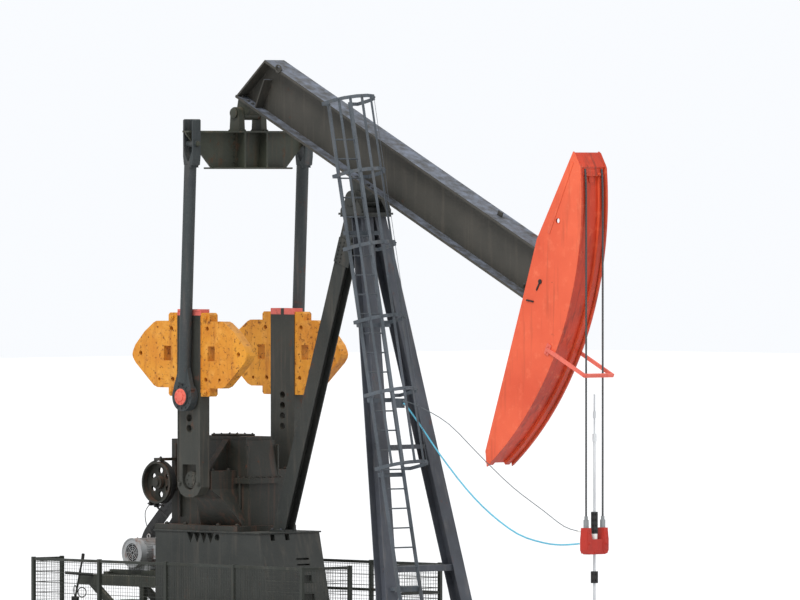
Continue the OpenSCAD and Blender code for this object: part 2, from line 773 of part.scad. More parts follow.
// Height of the stiffener over the tail bearing
tail_rib = 480;
module walking_beam() {
    top = beam_lift + beam_d;
    color([0.27, 0.28, 0.26]) on_beam() {
        slab(-web_tb / 2, web_tb / 2) polygon([[-beam_heel, beam_lift], [-beam_rear, top],
            [beam_front, top], [beam_front, beam_lift]]);
        slab(-beam_w / 2, beam_w / 2) polygon([[-beam_rear, top], [beam_front, top],
            [beam_front, top - flange_tb], [-beam_rear, top - flange_tb]]);
        slab(-beam_w / 2, beam_w / 2) polygon([[-beam_heel, beam_lift], [beam_front, beam_lift],
            [beam_front, beam_lift + flange_tb], [-beam_heel, beam_lift + flange_tb]]);
        slab(-beam_w / 2, beam_w / 2) polygon([[-beam_heel, beam_lift], [-beam_rear, top],
            [-beam_rear + 30, top], [-beam_heel + 30, beam_lift]]);
        translate([-tail_r + 250, 20 - beam_w / 2, beam_lift + 1]) cube([20, beam_w - 40, tail_rib]);
    }
}
casting_y = 165;
module saddle_casting() {
    color([0.19, 0.2, 0.19]) on_beam() {
        slab(-casting_y, casting_y) difference() {
            union() {
                circle(r = 120, $fn = round_fn);
                polygon([[-110, 0], [110, 0], [230, beam_lift - 30], [230, beam_lift - gap],
                    [-230, beam_lift - gap], [-230, beam_lift - 30]]);
            }
            circle(d = saddle_d, $fn = round_fn);
        }
        barrel(-block_y1 - 20, block_y1 + 20, saddle_d);
    }
}
tail_d = 110;
cheek_y0 = 160;
cheek_y1 = 270;
module tail_casting() {
    color([0.24, 0.24, 0.22]) on_beam() translate([-tail_r, 0, tail_rise]) {
        slab(-cheek_y0 + 10, cheek_y0 - 10) difference() {
            union() {
                circle(r = 100, $fn = round_fn);
                polygon([[-95, 0], [95, 0], [160, beam_lift - tail_rise - 25],
                    [160, beam_lift - tail_rise - gap], [-130, beam_lift - tail_rise - gap],
                    [-130, beam_lift - tail_rise - 25]]);
            }
            circle(d = tail_d, $fn = round_fn);
        }
        barrel(-cheek_y1 - 20, cheek_y1 + 20, tail_d);
    }
}

// Horsehead
face_r = head_r - wire_d / 2 - 6;
plate_r = face_r - 40;
track_y0 = wire_y - 42;
track_y1 = wire_y + 42;
rim_r = head_r + 5;
head_lo = -arc_down;
function arc_pts(r, a0, a1, n) =
    [for (i = [0 : n]) r * [cos(a0 + (a1 - a0) * i / n), sin(a0 + (a1 - a0) * i / n)]];
module head_outline() {
    polygon(concat(arc_pts(rim_r, head_lo, arc_up, 40),
        [[head_r - 850, head_r - 2105], [head_r - 895, head_r - 2100],
            [beam_front - 280, beam_lift + beam_d + 150], [beam_front - 175, beam_lift + 25],
            [head_r - 665, 2630 - head_r]]));
}
module horsehead_sides() {
    color([0.85, 0.33, 0.2]) on_beam() for (s = [near, far])
        slab(side_lo(s, head_w / 2 - head_t, head_w / 2), side_hi(s, head_w / 2 - head_t, head_w / 2))
            difference() {
                head_outline();
                translate([0.6 * beam_front + 0.4 * head_r - 306, head_r - 3100])
                    circle(d = 70, $fn = round_fn);
            }
}
module horsehead_face() {
    w = head_w / 2 - head_t - gap;
    color([0.7, 0.22, 0.13]) on_beam() {
        slab(-w, w) polygon(concat(arc_pts(plate_r, head_lo, arc_up - 1, 40),
            arc_pts(plate_r - head_t, arc_up - 1, head_lo, 40)));
        for (s = [near, far])
            slab(side_lo(s, track_y0, track_y1), side_hi(s, track_y0, track_y1))
                polygon(concat(arc_pts(face_r, head_lo, arc_up - 1, 40),
                    arc_pts(plate_r - 1, arc_up - 1, head_lo, 40)));
        slab(-w, w) polygon([[beam_front + gap, beam_lift - 40], [beam_front + 30, beam_lift - 40],
            [beam_front + 30, beam_lift + beam_d + 60], [beam_front + gap, beam_lift + beam_d + 60]]);
        for (h = [beam_lift - 40, beam_lift + beam_d + 40])
            slab(-w, w) polygon([[beam_front + 1, h], [plate_r * cos(asin(h / plate_r)) - 10, h],
                [plate_r * cos(asin(h / plate_r)) - 10, h + 20], [beam_front + 1, h + 20]]);
        slab(-w, w)
            polygon([[head_r - 875, head_r - 2105], [head_r - 850, head_r - 2110],
                [(rim_r - 12) * cos(arc_up), (rim_r - 12) * sin(arc_up)],
                [(plate_r - 10) * cos(arc_up - 1.6), (plate_r - 10) * sin(arc_up - 1.6)],
                [head_r - 875, head_r - 2200]]);
    }
}
guard_s = head_r + 690;
guard_root = head_r - 170;
module wireline_guard() {
    y = head_w / 2 + 20;
    color([0.8, 0.3, 0.2]) on_beam() {
        for (s = [near, far])
            block([guard_root, side_lo(s, head_w / 2 + gap, y + 12), -190],
                [guard_s, side_hi(s, head_w / 2 + gap, y + 12), -140]);
        block([guard_s - 32, -y - 12, -190], [guard_s, y + 12, -140]);
    }
}
wrap_deg = 4.6;
module upper_wires() {
    color([0.15, 0.15, 0.16]) for (s = [near, far])
        translate([saddle_x, s * wire_y, saddle_z]) rotate([90, 0, 0])
            rotate([0, 0, 0.005]) rotate_extrude(angle = wrap_deg, $fn = 180)
                translate([head_r, 0]) circle(d = wire_d, $fn = 16);
}

// Equalizer and pitmans
eq_drop = 255;
eq_web = 30;
eq_flange = 340;
eq_neck = 140;
eq_end = equalizer_l / 2;
eq_foot = 715;
eq_side = 310;
fork_pin_z = 190;
fork_pin_d = 90;
eq_top = tail_z - eq_drop;
eq_shoulder = eq_foot + equalizer_d - eq_side;
eq_wide = pitman_y - 260;
// The top flange narrows where the pitmans' forks straddle it
function eq_corners(turn) = turn > 0
    ? [[eq_flange / 2, eq_wide], [eq_neck / 2, eq_wide + 140], [eq_neck / 2, eq_end]]
    : [[eq_neck / 2, eq_end], [eq_neck / 2, eq_wide + 140], [eq_flange / 2, eq_wide]];
module equalizer() {
    color([0.25, 0.26, 0.24]) translate([tail_x, 0, 0]) {
        cross_slab(-eq_web / 2, eq_web / 2) difference() {
            polygon([[-eq_end, eq_top], [-eq_end, eq_top - 50], [-eq_shoulder, eq_top - eq_side],
                [-eq_foot, eq_top - equalizer_d], [eq_foot, eq_top - equalizer_d],
                [eq_shoulder, eq_top - eq_side], [eq_end, eq_top - 50], [eq_end, eq_top]]);
            for (s = [near, far]) translate([s * pitman_y, eq_top - fork_pin_z])
                circle(d = fork_pin_d + 2 * run_gap, $fn = round_fn);
        }
        translate([0, 0, eq_top - 25]) linear_extrude(25)
            polygon([for (q = [[1, 1], [-1, 1], [-1, -1], [1, -1]]) for (v = eq_corners(q[0] * q[1]))
                [q[0] * v[0], q[1] * v[1]]]);
        block([-eq_flange / 2, -eq_foot, eq_top - equalizer_d],
            [eq_flange / 2, eq_foot, eq_top - equalizer_d + 25]);
        for (s = [near, far]) {
            y0 = side_lo(s, cheek_y0, cheek_y1);
            y1 = side_hi(s, cheek_y0, cheek_y1);
            slab(y0, y1) difference() {
                union() {
                    translate([0, tail_z]) circle(r = 88, $fn = round_fn);
                    polygon([[-88, tail_z], [88, tail_z], [105, eq_top - 1], [-105, eq_top - 1]]);
                }
                translate([0, tail_z]) circle(d = tail_d + 2 * run_gap, $fn = round_fn);
            }
            block([-eq_flange / 2, y0 + 40, eq_top - equalizer_d], [eq_flange / 2, y0 + 70, eq_top]);
        }
    }
}
root_t = 70;
fork_gap = 160;
fork_t = 26;
fork_w = 150;
fork_up = 165;
fork_down = 430;
module pitman(s) {
    tube_top = (eq_top - fork_down - 60 - pin_z) / cos(pitman_lean);
    color([0.25, 0.27, 0.26]) {
        on_pitman() translate([0, s * pitman_y, 0]) difference() {
            union() {
                translate([0, 0, 120]) cylinder(h = tube_top - 120, d = pitman_d, $fn = round_fn);
                slab(-root_t / 2, root_t / 2)
                    polygon([[-190, 110], [190, 110], [pitman_d / 2 - 8, 440], [8 - pitman_d / 2, 440]]);
            }
            barrel(-200, 200, housing_d + 2 * run_gap);
        }
        translate([tail_x, s * pitman_y, eq_top]) {
            for (m = [near, far]) slab(-fork_w / 2, fork_w / 2)
                polygon([[m * fork_gap / 2, fork_up], [m * (fork_gap / 2 + fork_t), fork_up - 15],
                    [m * (fork_gap / 2 + fork_t), -fork_down + 60], [m * pitman_d / 2, -fork_down - 60],
                    [m * 20, -fork_down - 90], [m * 8, -fork_down - 20],
                    [m * fork_gap / 2, -fork_down + 130]]);
            slab(-fork_w / 2, fork_w / 2) polygon([[-60, -fork_down - 100], [60, -fork_down - 100],
                [40, -fork_down - 10], [-40, -fork_down - 10]]);
            translate([0, 0, -fork_pin_z]) rotate([0, 90, 0])
                translate([0, 0, -fork_gap / 2 - fork_t - 20])
                    cylinder(h = fork_gap + 2 * fork_t + 40, d = fork_pin_d, $fn = round_fn);
        }
    }
}
module pitmans() {
    pitman(near);
    pitman(far);
}
house_in = crank_out + 17;
house_out = 1140;
cap_out = 1165;
module wrist_pin(s) {
    color([0.2, 0.22, 0.23]) on_pitman() {
        barrel(side_lo(s, house_in, house_out), side_hi(s, house_in, house_out), housing_d);
        barrel(side_lo(s, house_out - 1, cap_out), side_hi(s, house_out - 1, cap_out), cap_d);
    }
}
module wrist_pins() {
    wrist_pin(near);
    wrist_pin(far);
}

// Carrier and rod
bar_h = 210;
bar_x = 60;
ear_up = 160;
ear_w = 110;
module carrier_bar() {
    color([0.75, 0.12, 0.08]) translate([well_x, 0, carrier_z]) difference() {
        union() {
            block([-bar_x, -wire_y, -bar_h], [bar_x, wire_y, 0]);
            for (s = [near, far]) translate([0, s * wire_y, 0])
                cross_slab(-bar_x - 5, bar_x + 5)
                    polygon([[-ear_w / 2, -bar_h + 60], [-ear_w / 4, -bar_h + 10],
                    [ear_w / 4, -bar_h + 10], [ear_w / 2, -bar_h + 60], [ear_w / 2, 0], [ear_w / 2 - 12, 90],
                    [ear_w / 3, ear_up], [-ear_w / 3, ear_up], [12 - ear_w / 2, 90], [-ear_w / 2, 0]]);
        }
        translate([0, 0, -bar_h - 1]) cylinder(h = bar_h + 2, d = rod_d + 2 * run_gap, $fn = round_fn);
    }
}
// The rod's lower end is turned down to the standard pin of a 25.4 mm sucker rod
rod_pin_d = 34.9;
rod_pin_l = 41.3;
rod_top = 3370;
thin_d = 24;
module polished_rod() {
    color([0.75, 0.76, 0.78]) translate([well_x, 0, 0]) {
        translate([0, 0, rod_foot]) cylinder(h = rod_pin_l + 1, d = rod_pin_d, $fn = round_fn);
        translate([0, 0, rod_foot + rod_pin_l])
            cylinder(h = rod_top - rod_foot - rod_pin_l, d = rod_d, $fn = round_fn);
        translate([0, 0, rod_top - 1]) cylinder(h = 110, d = 56, $fn = round_fn);
        translate([0, 0, rod_top + 100]) cylinder(h = rod_head - rod_top - 100, d = thin_d, $fn = round_fn);
        translate([0, 0, rod_top + 330]) cylinder(h = 90, d = 44, $fn = round_fn);
    }
}
cell_h = 76;
cell_d = 84;
clamp_h = 305;
clamp_s = 68;
low_clamp_z = 1400;
low_clamp_h = 165;
module load_cell() {
    color([0.85, 0.85, 0.84]) translate([well_x, 0, carrier_z + gap]) difference() {
        cylinder(h = cell_h, d = cell_d, $fn = round_fn);
        translate([0, 0, -1]) cylinder(h = cell_h + 2, d = rod_d + 2 * run_gap, $fn = round_fn);
    }
}
module rod_clamps() {
    z = carrier_z + cell_h + 2 * gap;
    c = clamp_s / 2;
    color([0.12, 0.12, 0.12]) translate([well_x, 0, 0]) difference() {
        union() {
            block([-c, -c, z], [c, c, z + clamp_h]);
            block([-c, -c - 4, low_clamp_z], [c, c + 4, low_clamp_z + low_clamp_h]);
        }
        translate([0, 0, low_clamp_z - 1])
            cylinder(h = z + clamp_h - low_clamp_z + 2, d = rod_d + 2 * run_gap, $fn = round_fn);
    }
}
socket_d = 74;
socket_h = 110;
neck_d = 50;
neck_h = 50;
socket_z = carrier_z + ear_up + gap;
module wire_sockets() {
    color([0.6, 0.6, 0.58]) for (s = [near, far]) translate([well_x, s * wire_y, socket_z]) {
        cylinder(h = socket_h, d = socket_d, $fn = round_fn);
        cylinder(h = socket_h + neck_h, d = neck_d, $fn = round_fn);
    }
}
module hanging_wires() {
    z = socket_z + socket_h + neck_h + gap;
    color([0.15, 0.15, 0.16]) for (s = [near, far])
        translate([well_x, s * wire_y, z]) cylinder(h = saddle_z - z, d = wire_d, $fn = 24);
}

// Hanging cables: eight-sided tubes swept along their routes
cable_from = box_x1 + gap;
cable_to = well_x - bar_x - 5 - gap;
load_route = [[cable_from, -415, 3835], [cable_from + 50, -415, 3835], [4170, -390, 3555],
    [4550, -360, 3140], [5040, -325, 2675], [5500, -290, 2330], [6010, -255, 2060], [6470, -220, 1950],
    [6820, -190, 1925], [cable_to - 60, -162, 1950], [cable_to, -162, 1950]];
signal_route = [[cable_from, -415, 3890], [cable_from + 50, -415, 3890], [4230, -390, 3790],
    [4720, -350, 3575], [5320, -305, 3130], [5910, -260, 2715], [6470, -220, 2405], [6870, -190, 2185],
    [cable_to - 60, -162, 2120], [cable_to, -162, 2120]];
load_d = 24;
signal_d = 12;
cord_sides = 8;
function unit(v) = v / norm(v);
function tangent(p, i) = unit(p[min(i + 1, len(p) - 1)] - p[max(i - 1, 0)]);
function ring_at(c, t, r) =
    let (side = unit(cross([0, 0, 1], t)), up = cross(t, side))
    [for (k = [0 : cord_sides - 1])
        c + r * (cos(k * 360 / cord_sides) * side + sin(k * 360 / cord_sides) * up)];
module cord_tube(p, d) {
    n = len(p);
    m = cord_sides;
    rings = [for (i = [0 : n - 1]) each ring_at(p[i], tangent(p, i), d / 2)];
    sides = [for (i = [0 : n - 2], k = [0 : m - 1])
        [i * m + k, i * m + (k + 1) % m, (i + 1) * m + (k + 1) % m, (i + 1) * m + k]];
    polyhedron(points = rings, convexity = 4, faces = concat(sides,
        [[for (k = [m - 1 : -1 : 0]) k]], [[for (k = [0 : m - 1]) (n - 1) * m + k]]));
}
module load_cable() { color([0.25, 0.6, 0.75]) cord_tube(load_route, load_d); }
module signal_cable() { color([0.35, 0.38, 0.4]) cord_tube(signal_route, signal_d); }

foundation();
skid();
pedestal();
reducer_case();
reducer_upper_case();
rear_leg();
front_legs();
leg_struts();
post_head();
saddle_blocks();
ladder();
cage_hoops();
cage_straps();
ladder_brackets();
motor_platform();
motor();
belt_guard();
drive_belts();
brake_lever();
fence_near();
fence_far();
fence_ends();
brake_drum();
belt_sheave();
crankshaft();
cranks();
counterweights();
walking_beam();
saddle_casting();
tail_casting();
horsehead_sides();
horsehead_face();
wireline_guard();
upper_wires();
equalizer();
pitmans();
wrist_pins();
carrier_bar();
wire_sockets();
polished_rod();
rod_clamps();
load_cell();
hanging_wires();
load_cable();
signal_cable();
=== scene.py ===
import math
import bpy
from mathutils import Matrix, Vector


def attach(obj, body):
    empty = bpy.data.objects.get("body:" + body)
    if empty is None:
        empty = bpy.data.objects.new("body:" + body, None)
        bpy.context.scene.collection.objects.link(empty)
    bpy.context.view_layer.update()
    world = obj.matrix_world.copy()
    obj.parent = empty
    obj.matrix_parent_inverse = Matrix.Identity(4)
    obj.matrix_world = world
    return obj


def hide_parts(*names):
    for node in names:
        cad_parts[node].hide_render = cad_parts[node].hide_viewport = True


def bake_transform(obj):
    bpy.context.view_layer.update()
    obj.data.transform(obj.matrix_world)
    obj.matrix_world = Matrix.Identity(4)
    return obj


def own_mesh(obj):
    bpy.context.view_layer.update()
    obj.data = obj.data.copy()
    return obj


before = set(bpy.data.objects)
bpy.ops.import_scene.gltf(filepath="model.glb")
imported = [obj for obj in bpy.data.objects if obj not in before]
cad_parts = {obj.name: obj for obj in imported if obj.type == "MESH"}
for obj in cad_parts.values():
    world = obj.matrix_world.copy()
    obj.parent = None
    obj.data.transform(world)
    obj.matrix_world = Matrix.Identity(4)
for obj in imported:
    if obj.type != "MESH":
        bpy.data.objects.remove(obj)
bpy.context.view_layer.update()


def report(words):
    print("pumpjack:", words)


# camera: level with the crankshaft, a long way off, looking at the unit's near front quarter
cameraSet = {"turn": 46.5, "lift": 0.66, "distance": 150.0, "target": (2.0, 0.0, 4.0),
             "lens": 472.5, "right": 0.928, "up": 1.298}


def placeCamera():
    turn, lift = math.radians(cameraSet["turn"]), math.radians(cameraSet["lift"])
    back = Vector((math.sin(turn) * math.cos(lift), -math.cos(turn) * math.cos(lift), math.sin(lift)))
    right = Vector((math.cos(turn), math.sin(turn), 0.0))
    up = back.cross(right)
    eye = Vector(cameraSet["target"]) + back * cameraSet["distance"]
    eye += right * cameraSet["right"] + up * cameraSet["up"]
    bpy.ops.object.camera_add(location=eye)
    camera = bpy.context.object
    camera.name = "photoCamera"
    camera.rotation_euler = Matrix((right, up, back)).transposed().to_euler()
    camera.data.lens = cameraSet["lens"]
    camera.data.sensor_width = 36.0
    camera.data.clip_end = 1000.0
    bpy.context.scene.camera = camera


placeCamera()
report("camera placed")


# the two cables that hang from the ladder's junction box to the carrier
cableSet = {"loadCable": {"radius": 0.012, "node": "load_cable", "finish": "cyanSheath", "route": (
    (3.8503, -0.415, 3.835), (3.9003, -0.415, 3.835), (4.17, -0.39, 3.555), (4.55, -0.36, 3.14),
    (5.04, -0.325, 2.675), (5.5, -0.29, 2.33), (6.01, -0.255, 2.06), (6.47, -0.22, 1.95),
    (6.82, -0.19, 1.925), (7.1547, -0.162, 1.95), (7.2147, -0.162, 1.95))},
    "signalCable": {"radius": 0.006, "node": "signal_cable", "finish": "greySheath", "route": (
        (3.8503, -0.415, 3.89), (3.9003, -0.415, 3.89), (4.23, -0.39, 3.79), (4.72, -0.35, 3.575),
        (5.32, -0.305, 3.13), (5.91, -0.26, 2.715), (6.47, -0.22, 2.405), (6.87, -0.19, 2.185),
        (7.1547, -0.162, 2.12), (7.2147, -0.162, 2.12))}}


def curvePoints(route, steps):
    points = [Vector(p) for p in route]
    points = [points[0] * 2 - points[1]] + points + [points[-1] * 2 - points[-2]]
    made = []
    for i in range(1, len(points) - 2):
        a, b, c, d = points[i - 1:i + 3]
        for k in range(steps):
            t = k / steps
            made.append(0.5 * (2 * b + (c - a) * t + (2 * a - 5 * b + 4 * c - d) * t * t
                               + (3 * b - a - 3 * c + d) * t ** 3))
    return made + [points[-2]]


def tubeAlong(points, radius, sides=10):
    flat = bpy.data.curves.new("route", "CURVE")
    flat.dimensions = "3D"
    flat.bevel_depth = radius
    flat.bevel_resolution = max(1, sides // 4)
    flat.use_fill_caps = True
    line = flat.splines.new("POLY")
    line.points.add(len(points) - 1)
    for spot, place in zip(line.points, points):
        spot.co = (*place, 1.0)
    made = bpy.data.objects.new("route", flat)
    bpy.context.collection.objects.link(made)
    bpy.ops.object.select_all(action="DESELECT")
    made.select_set(True)
    bpy.context.view_layer.objects.active = made
    bpy.ops.object.convert(target="MESH")
    return bpy.context.object


def makeCables():
    made = {}
    for name, one in cableSet.items():
        path = curvePoints(one["route"], 3)
        cable = tubeAlong(path, one["radius"], 12)
        cable.name = name
        length = sum((b - a).length for a, b in zip(path, path[1:]))
        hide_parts(one["node"])
        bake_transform(cable)
        made[name] = cable
    return made


cables = makeCables()
report("cables hung")


# shader maths as plain expressions on sockets
class Wire:
    def __init__(self, tree, socket):
        self.tree, self.socket = tree, socket

    def maths(self, operation, first, second):
        return addNode(self.tree, "ShaderNodeMath", {"operation": operation}, {0: first, 1: second})

    def __add__(self, other):
        return self.maths("ADD", self, other)

    def __radd__(self, other):
        return self.maths("ADD", other, self)

    def __sub__(self, other):
        return self.maths("SUBTRACT", self, other)

    def __rsub__(self, other):
        return self.maths("SUBTRACT", other, self)

    def __mul__(self, other):
        return self.maths("MULTIPLY", self, other)

    def __rmul__(self, other):
        return self.maths("MULTIPLY", other, self)


def addNode(tree, kind, settings, inputs, out=0):
    made = tree.nodes.new(kind)
    for key, value in settings.items():
        setattr(made, key, value)
    for key, value in inputs.items():
        if isinstance(value, Wire):
            tree.links.new(value.socket, made.inputs[key])
        else:
            made.inputs[key].default_value = value
    return Wire(tree, made.outputs[out])


class Finish:
    def __init__(self, name):
        self.material = bpy.data.materials.new(name)
        self.material.use_nodes = True
        self.tree = self.material.node_tree
        self.shader = self.tree.nodes["Principled BSDF"]
        self.place = addNode(self.tree, "ShaderNodeTexCoord", {}, {}, 3)

    def stretched(self, scale):
        return addNode(self.tree, "ShaderNodeMapping", {}, {"Vector": self.place, "Scale": scale})

    def noise(self, scale, detail=5.0, rough=0.6, stretch=(1, 1, 1)):
        return addNode(self.tree, "ShaderNodeTexNoise", {},
                       {"Vector": self.stretched(stretch), "Scale": scale, "Detail": detail,
                        "Roughness": rough})

    def cells(self, scale):
        return addNode(self.tree, "ShaderNodeTexVoronoi", {}, {"Vector": self.place, "Scale": scale})

    def band(self, value, low, high):
        return addNode(self.tree, "ShaderNodeMapRange", {"clamp": True},
                       {"Value": value, "From Min": low, "From Max": high, "To Min": 0.0, "To Max": 1.0})

    def along(self, axis):
        return addNode(self.tree, "ShaderNodeSeparateXYZ", {}, {0: self.place}, axis)

    def facing(self, axis):
        normal = addNode(self.tree, "ShaderNodeNewGeometry", {}, {}, 1)
        return addNode(self.tree, "ShaderNodeSeparateXYZ", {}, {0: normal}, axis)

    def blend(self, factor, first, second):
        made = self.tree.nodes.new("ShaderNodeMix")
        made.data_type = "RGBA"
        for key, value in ((0, factor), (6, first), (7, second)):
            if isinstance(value, Wire):
                self.tree.links.new(value.socket, made.inputs[key])
            else:
                made.inputs[key].default_value = value if key == 0 else (*value, 1.0)
        return Wire(self.tree, made.outputs[2])

    def feed(self, socket, value):
        if isinstance(value, Wire):
            self.tree.links.new(value.socket, self.shader.inputs[socket])
        else:
            self.shader.inputs[socket].default_value = value

    def relief(self, value, depth, strength=0.5):
        made = self.tree.nodes.new("ShaderNodeBump")
        made.inputs["Strength"].default_value = strength
        made.inputs["Distance"].default_value = depth
        self.tree.links.new(value.socket, made.inputs["Height"])
        self.tree.links.new(made.outputs[0], self.shader.inputs["Normal"])


def tone(code):
    parts = [int(code[i:i + 2], 16) / 255 for i in (0, 2, 4)]
    return tuple(p / 12.92 if p <= 0.04045 else ((p + 0.055) / 1.055) ** 2.4 for p in parts)


# weathered paint: two close tones, rust blooms, dust on faces that look up (on the beam also painted sky
# light), run marks, chips
def weatheredPaint(name, look):
    made = Finish(name)
    broad = made.band(made.noise(look.get("patch", 1.1), 6.0), 0.35, 0.65)
    base = made.blend(broad, tone(look["main"]), tone(look["second"]))
    fine = made.noise(look.get("grain", 38.0), 4.0, 0.7)
    base = made.blend(made.band(fine, 0.5, 0.75) * look.get("speckle", 0.25), base, tone(look["fleck"]))
    runs = made.band(made.noise(5.5, 4.0, 0.55, (2.2, 2.2, 0.16)), 0.52, 0.72)
    base = made.blend(runs * look.get("runs", 0.3), base, tone(look["run"]))
    rustShape = made.noise(look.get("rustSize", 3.4), 9.0, 0.72)
    rust = made.band(rustShape, look.get("rustEdge", 0.62), look.get("rustEdge", 0.62) + 0.06)
    rustTone = made.blend(made.noise(30.0, 3.0), tone("4a2413"), tone("8a4a26"))
    base = made.blend(rust * look.get("rust", 0.5), base, rustTone)
    # faces that look up take the dust tone: dust, and on the beam a painted sky light as well
    dustAndSkyLight = made.band(made.facing(2), 0.45, 0.95) * made.band(made.noise(7.0, 5.0), 0.3, 0.7)
    base = made.blend(dustAndSkyLight * look.get("dustAndSkyLight", 0.35), base, tone(look.get("dustAndSkyTone", "8c8578")))
    made.feed("Base Color", base)
    made.feed("Roughness", look.get("rough", 0.5) + 0.25 * rust + 0.15 * fine)
    made.feed("Metallic", look.get("metal", 0.0))
    made.feed("Specular IOR Level", look.get("shine", 0.4))
    made.relief(fine + 0.8 * rust, look.get("depth", 0.003), 0.35)
    return made


charcoalLook = {"main": "343633", "second": "272a28", "fleck": "4b4c47", "run": "5d564d", "rust": 0.35,
                "dustAndSkyTone": "7d7c74", "dustAndSkyLight": 0.4}
looks = {
    "charcoalPaint": charcoalLook,
    # the beam's pale bluish-grey on faces that look up is painted sky light as well as dust
    "beamPaint": {**charcoalLook, "main": "423f39", "second": "35342f", "dustAndSkyTone": "7c8494", "dustAndSkyLight": 0.85,
                  "rust": 0.3},
    "equalPaint": {**charcoalLook, "main": "3d4136", "second": "30332b", "fleck": "55493a", "run": "5f4a36",
                   "rust": 0.25, "rustEdge": 0.6, "dustAndSkyTone": "7a6c5c", "dustAndSkyLight": 0.5},
    "legPaint": {**charcoalLook, "main": "4a4e56", "second": "36393f", "run": "6e6a66", "dustAndSkyLight": 0.3},
    "casePaint": {**charcoalLook, "main": "30312d", "second": "23251f", "fleck": "5c4a3c", "run": "6b4636",
                  "runs": 0.35, "rust": 0.5, "dustAndSkyTone": "84604e", "dustAndSkyLight": 0.5},
    "pipePaint": {**charcoalLook, "main": "363d3d", "second": "2b3033", "fleck": "65605e", "run": "6c5e58"},
    "ladderPaint": {**charcoalLook, "main": "50575e", "second": "3b4146", "fleck": "7b8288", "rust": 0.15},
    "fencePaint": {**charcoalLook, "main": "303430", "second": "23261f", "rust": 0.25},
    "skidPaint": {**charcoalLook, "main": "35382f", "second": "282b26", "run": "5d5648", "runs": 0.45,
                  "dustAndSkyLight": 0.65, "dustAndSkyTone": "86806e"},
    "motorPaint": {"main": "a3a5a6", "second": "8e9192", "fleck": "c2c4c4", "run": "8a6b52", "runs": 0.35,
                   "rust": 0.55, "rustEdge": 0.56, "dustAndSkyTone": "8b6a50", "dustAndSkyLight": 0.7},
    "guardPaint": {"main": "171818", "second": "0f1010", "fleck": "2b2b2b", "run": "2e2c29", "rust": 0.12,
                   "rough": 0.35, "dustAndSkyLight": 0.3, "dustAndSkyTone": "4c4a45"},
    "redPaint": {"main": "b12a1c", "second": "9a2015", "fleck": "c94a38", "run": "6d1c14", "rust": 0.25,
                 "dustAndSkyLight": 0.2, "dustAndSkyTone": "a06a58"},
    "cellPaint": {"main": "dcdcd8", "second": "cfcfca", "fleck": "f0f0ee", "run": "a39f97", "rust": 0.06,
                  "dustAndSkyLight": 0.1, "dustAndSkyTone": "b6b2a8"},
    "clampIron": {"main": "222222", "second": "171717", "fleck": "3c3a38", "run": "3a2c22", "rust": 0.3,
                  "dustAndSkyLight": 0.2, "dustAndSkyTone": "504a44"},
    "galvanized": {"main": "8c8f90", "second": "747879", "fleck": "b2b5b5", "run": "77706a", "rust": 0.2,
                   "metal": 0.3, "dustAndSkyLight": 0.2},
    "cyanSheath": {"main": "5fb4cc", "second": "4b9fba", "fleck": "8ccbd9", "run": "527c88", "rust": 0.0,
                   "dustAndSkyLight": 0.15, "dustAndSkyTone": "9fb5b8", "grain": 90.0},
    "salmonPaint": {"main": "e2705e", "second": "cf5848", "fleck": "f0a096", "run": "8a4038", "rust": 0.35,
                    "dustAndSkyLight": 0.2, "dustAndSkyTone": "a88078"},
    "greySheath": {"main": "62696d", "second": "4e5559", "fleck": "80868a", "run": "4a4c4d", "rust": 0.0,
                   "dustAndSkyLight": 0.1, "grain": 90.0},
}
finishes = {name: weatheredPaint(name, look) for name, look in looks.items()}


# the cranks: bare dark steel with a salmon band round each tip and a dark notch in its middle
crankSet = {"bandStart": 5.062, "bandSoft": 0.012, "notchHalf": 0.03, "salmon": "e0746a"}


def makeCrankSteel():
    look = {**charcoalLook, "main": "3c3c36", "second": "2b2d29", "run": "66584c", "runs": 0.4,
            "rust": 0.4, "dustAndSkyLight": 0.3, "dustAndSkyTone": "6a665c"}
    made = weatheredPaint("crankSteel", look)
    base = Wire(made.tree, made.shader.inputs["Base Color"].links[0].from_socket)
    band = made.band(made.along(2), crankSet["bandStart"], crankSet["bandStart"] + crankSet["bandSoft"])
    across = addNode(made.tree, "ShaderNodeMath", {"operation": "ABSOLUTE"}, {0: made.along(0)})
    outside = made.band(across, crankSet["notchHalf"], crankSet["notchHalf"] + 0.006)
    worn = made.band(made.noise(9.0, 7.0), 0.2, 0.42)
    paint = made.blend(made.noise(14.0), tone(crankSet["salmon"]), tone("c2584e"))
    made.feed("Base Color", made.blend(band * outside * worn, base, paint))
    return made


# the counterweights: faded yellow-orange over cast iron, pitted with rust, with a pinkish-tan painted
# highlight on the faces that look up
def makeWeightPaint():
    made = Finish("weightPaint")
    broad = made.band(made.noise(1.6, 6.0), 0.3, 0.7)
    base = made.blend(broad, tone("d9962e"), tone("c47a24"))
    base = made.blend(made.band(made.noise(4.2, 7.0, 0.7), 0.5, 0.7) * 0.6, base, tone("e0a24a"))
    streaks = made.band(made.noise(6.0, 5.0, 0.6, (1.6, 1.6, 0.2)), 0.5, 0.7)
    base = made.blend(streaks * 0.45, base, tone("8f4d1e"))
    pits = made.band(made.noise(17.0, 8.0, 0.75), 0.57, 0.61)
    blooms = made.band(made.noise(3.1, 9.0, 0.72), 0.6, 0.68)
    rustTone = made.blend(made.noise(40.0), tone("4c2614"), tone("7d4424"))
    base = made.blend(pits * 0.85, base, rustTone)
    base = made.blend(blooms * 0.6, base, rustTone)
    # painted highlight: faces that look up are lightened towards pale tan
    edge = made.band(made.facing(2), 0.3, 0.9)
    base = made.blend(edge * 0.4, base, tone("c99a62"))
    made.feed("Base Color", base)
    made.feed("Roughness", 0.55 + 0.3 * pits)
    made.feed("Specular IOR Level", 0.3)
    made.relief(made.noise(26.0, 6.0) - 1.2 * pits, 0.006, 0.5)
    return made
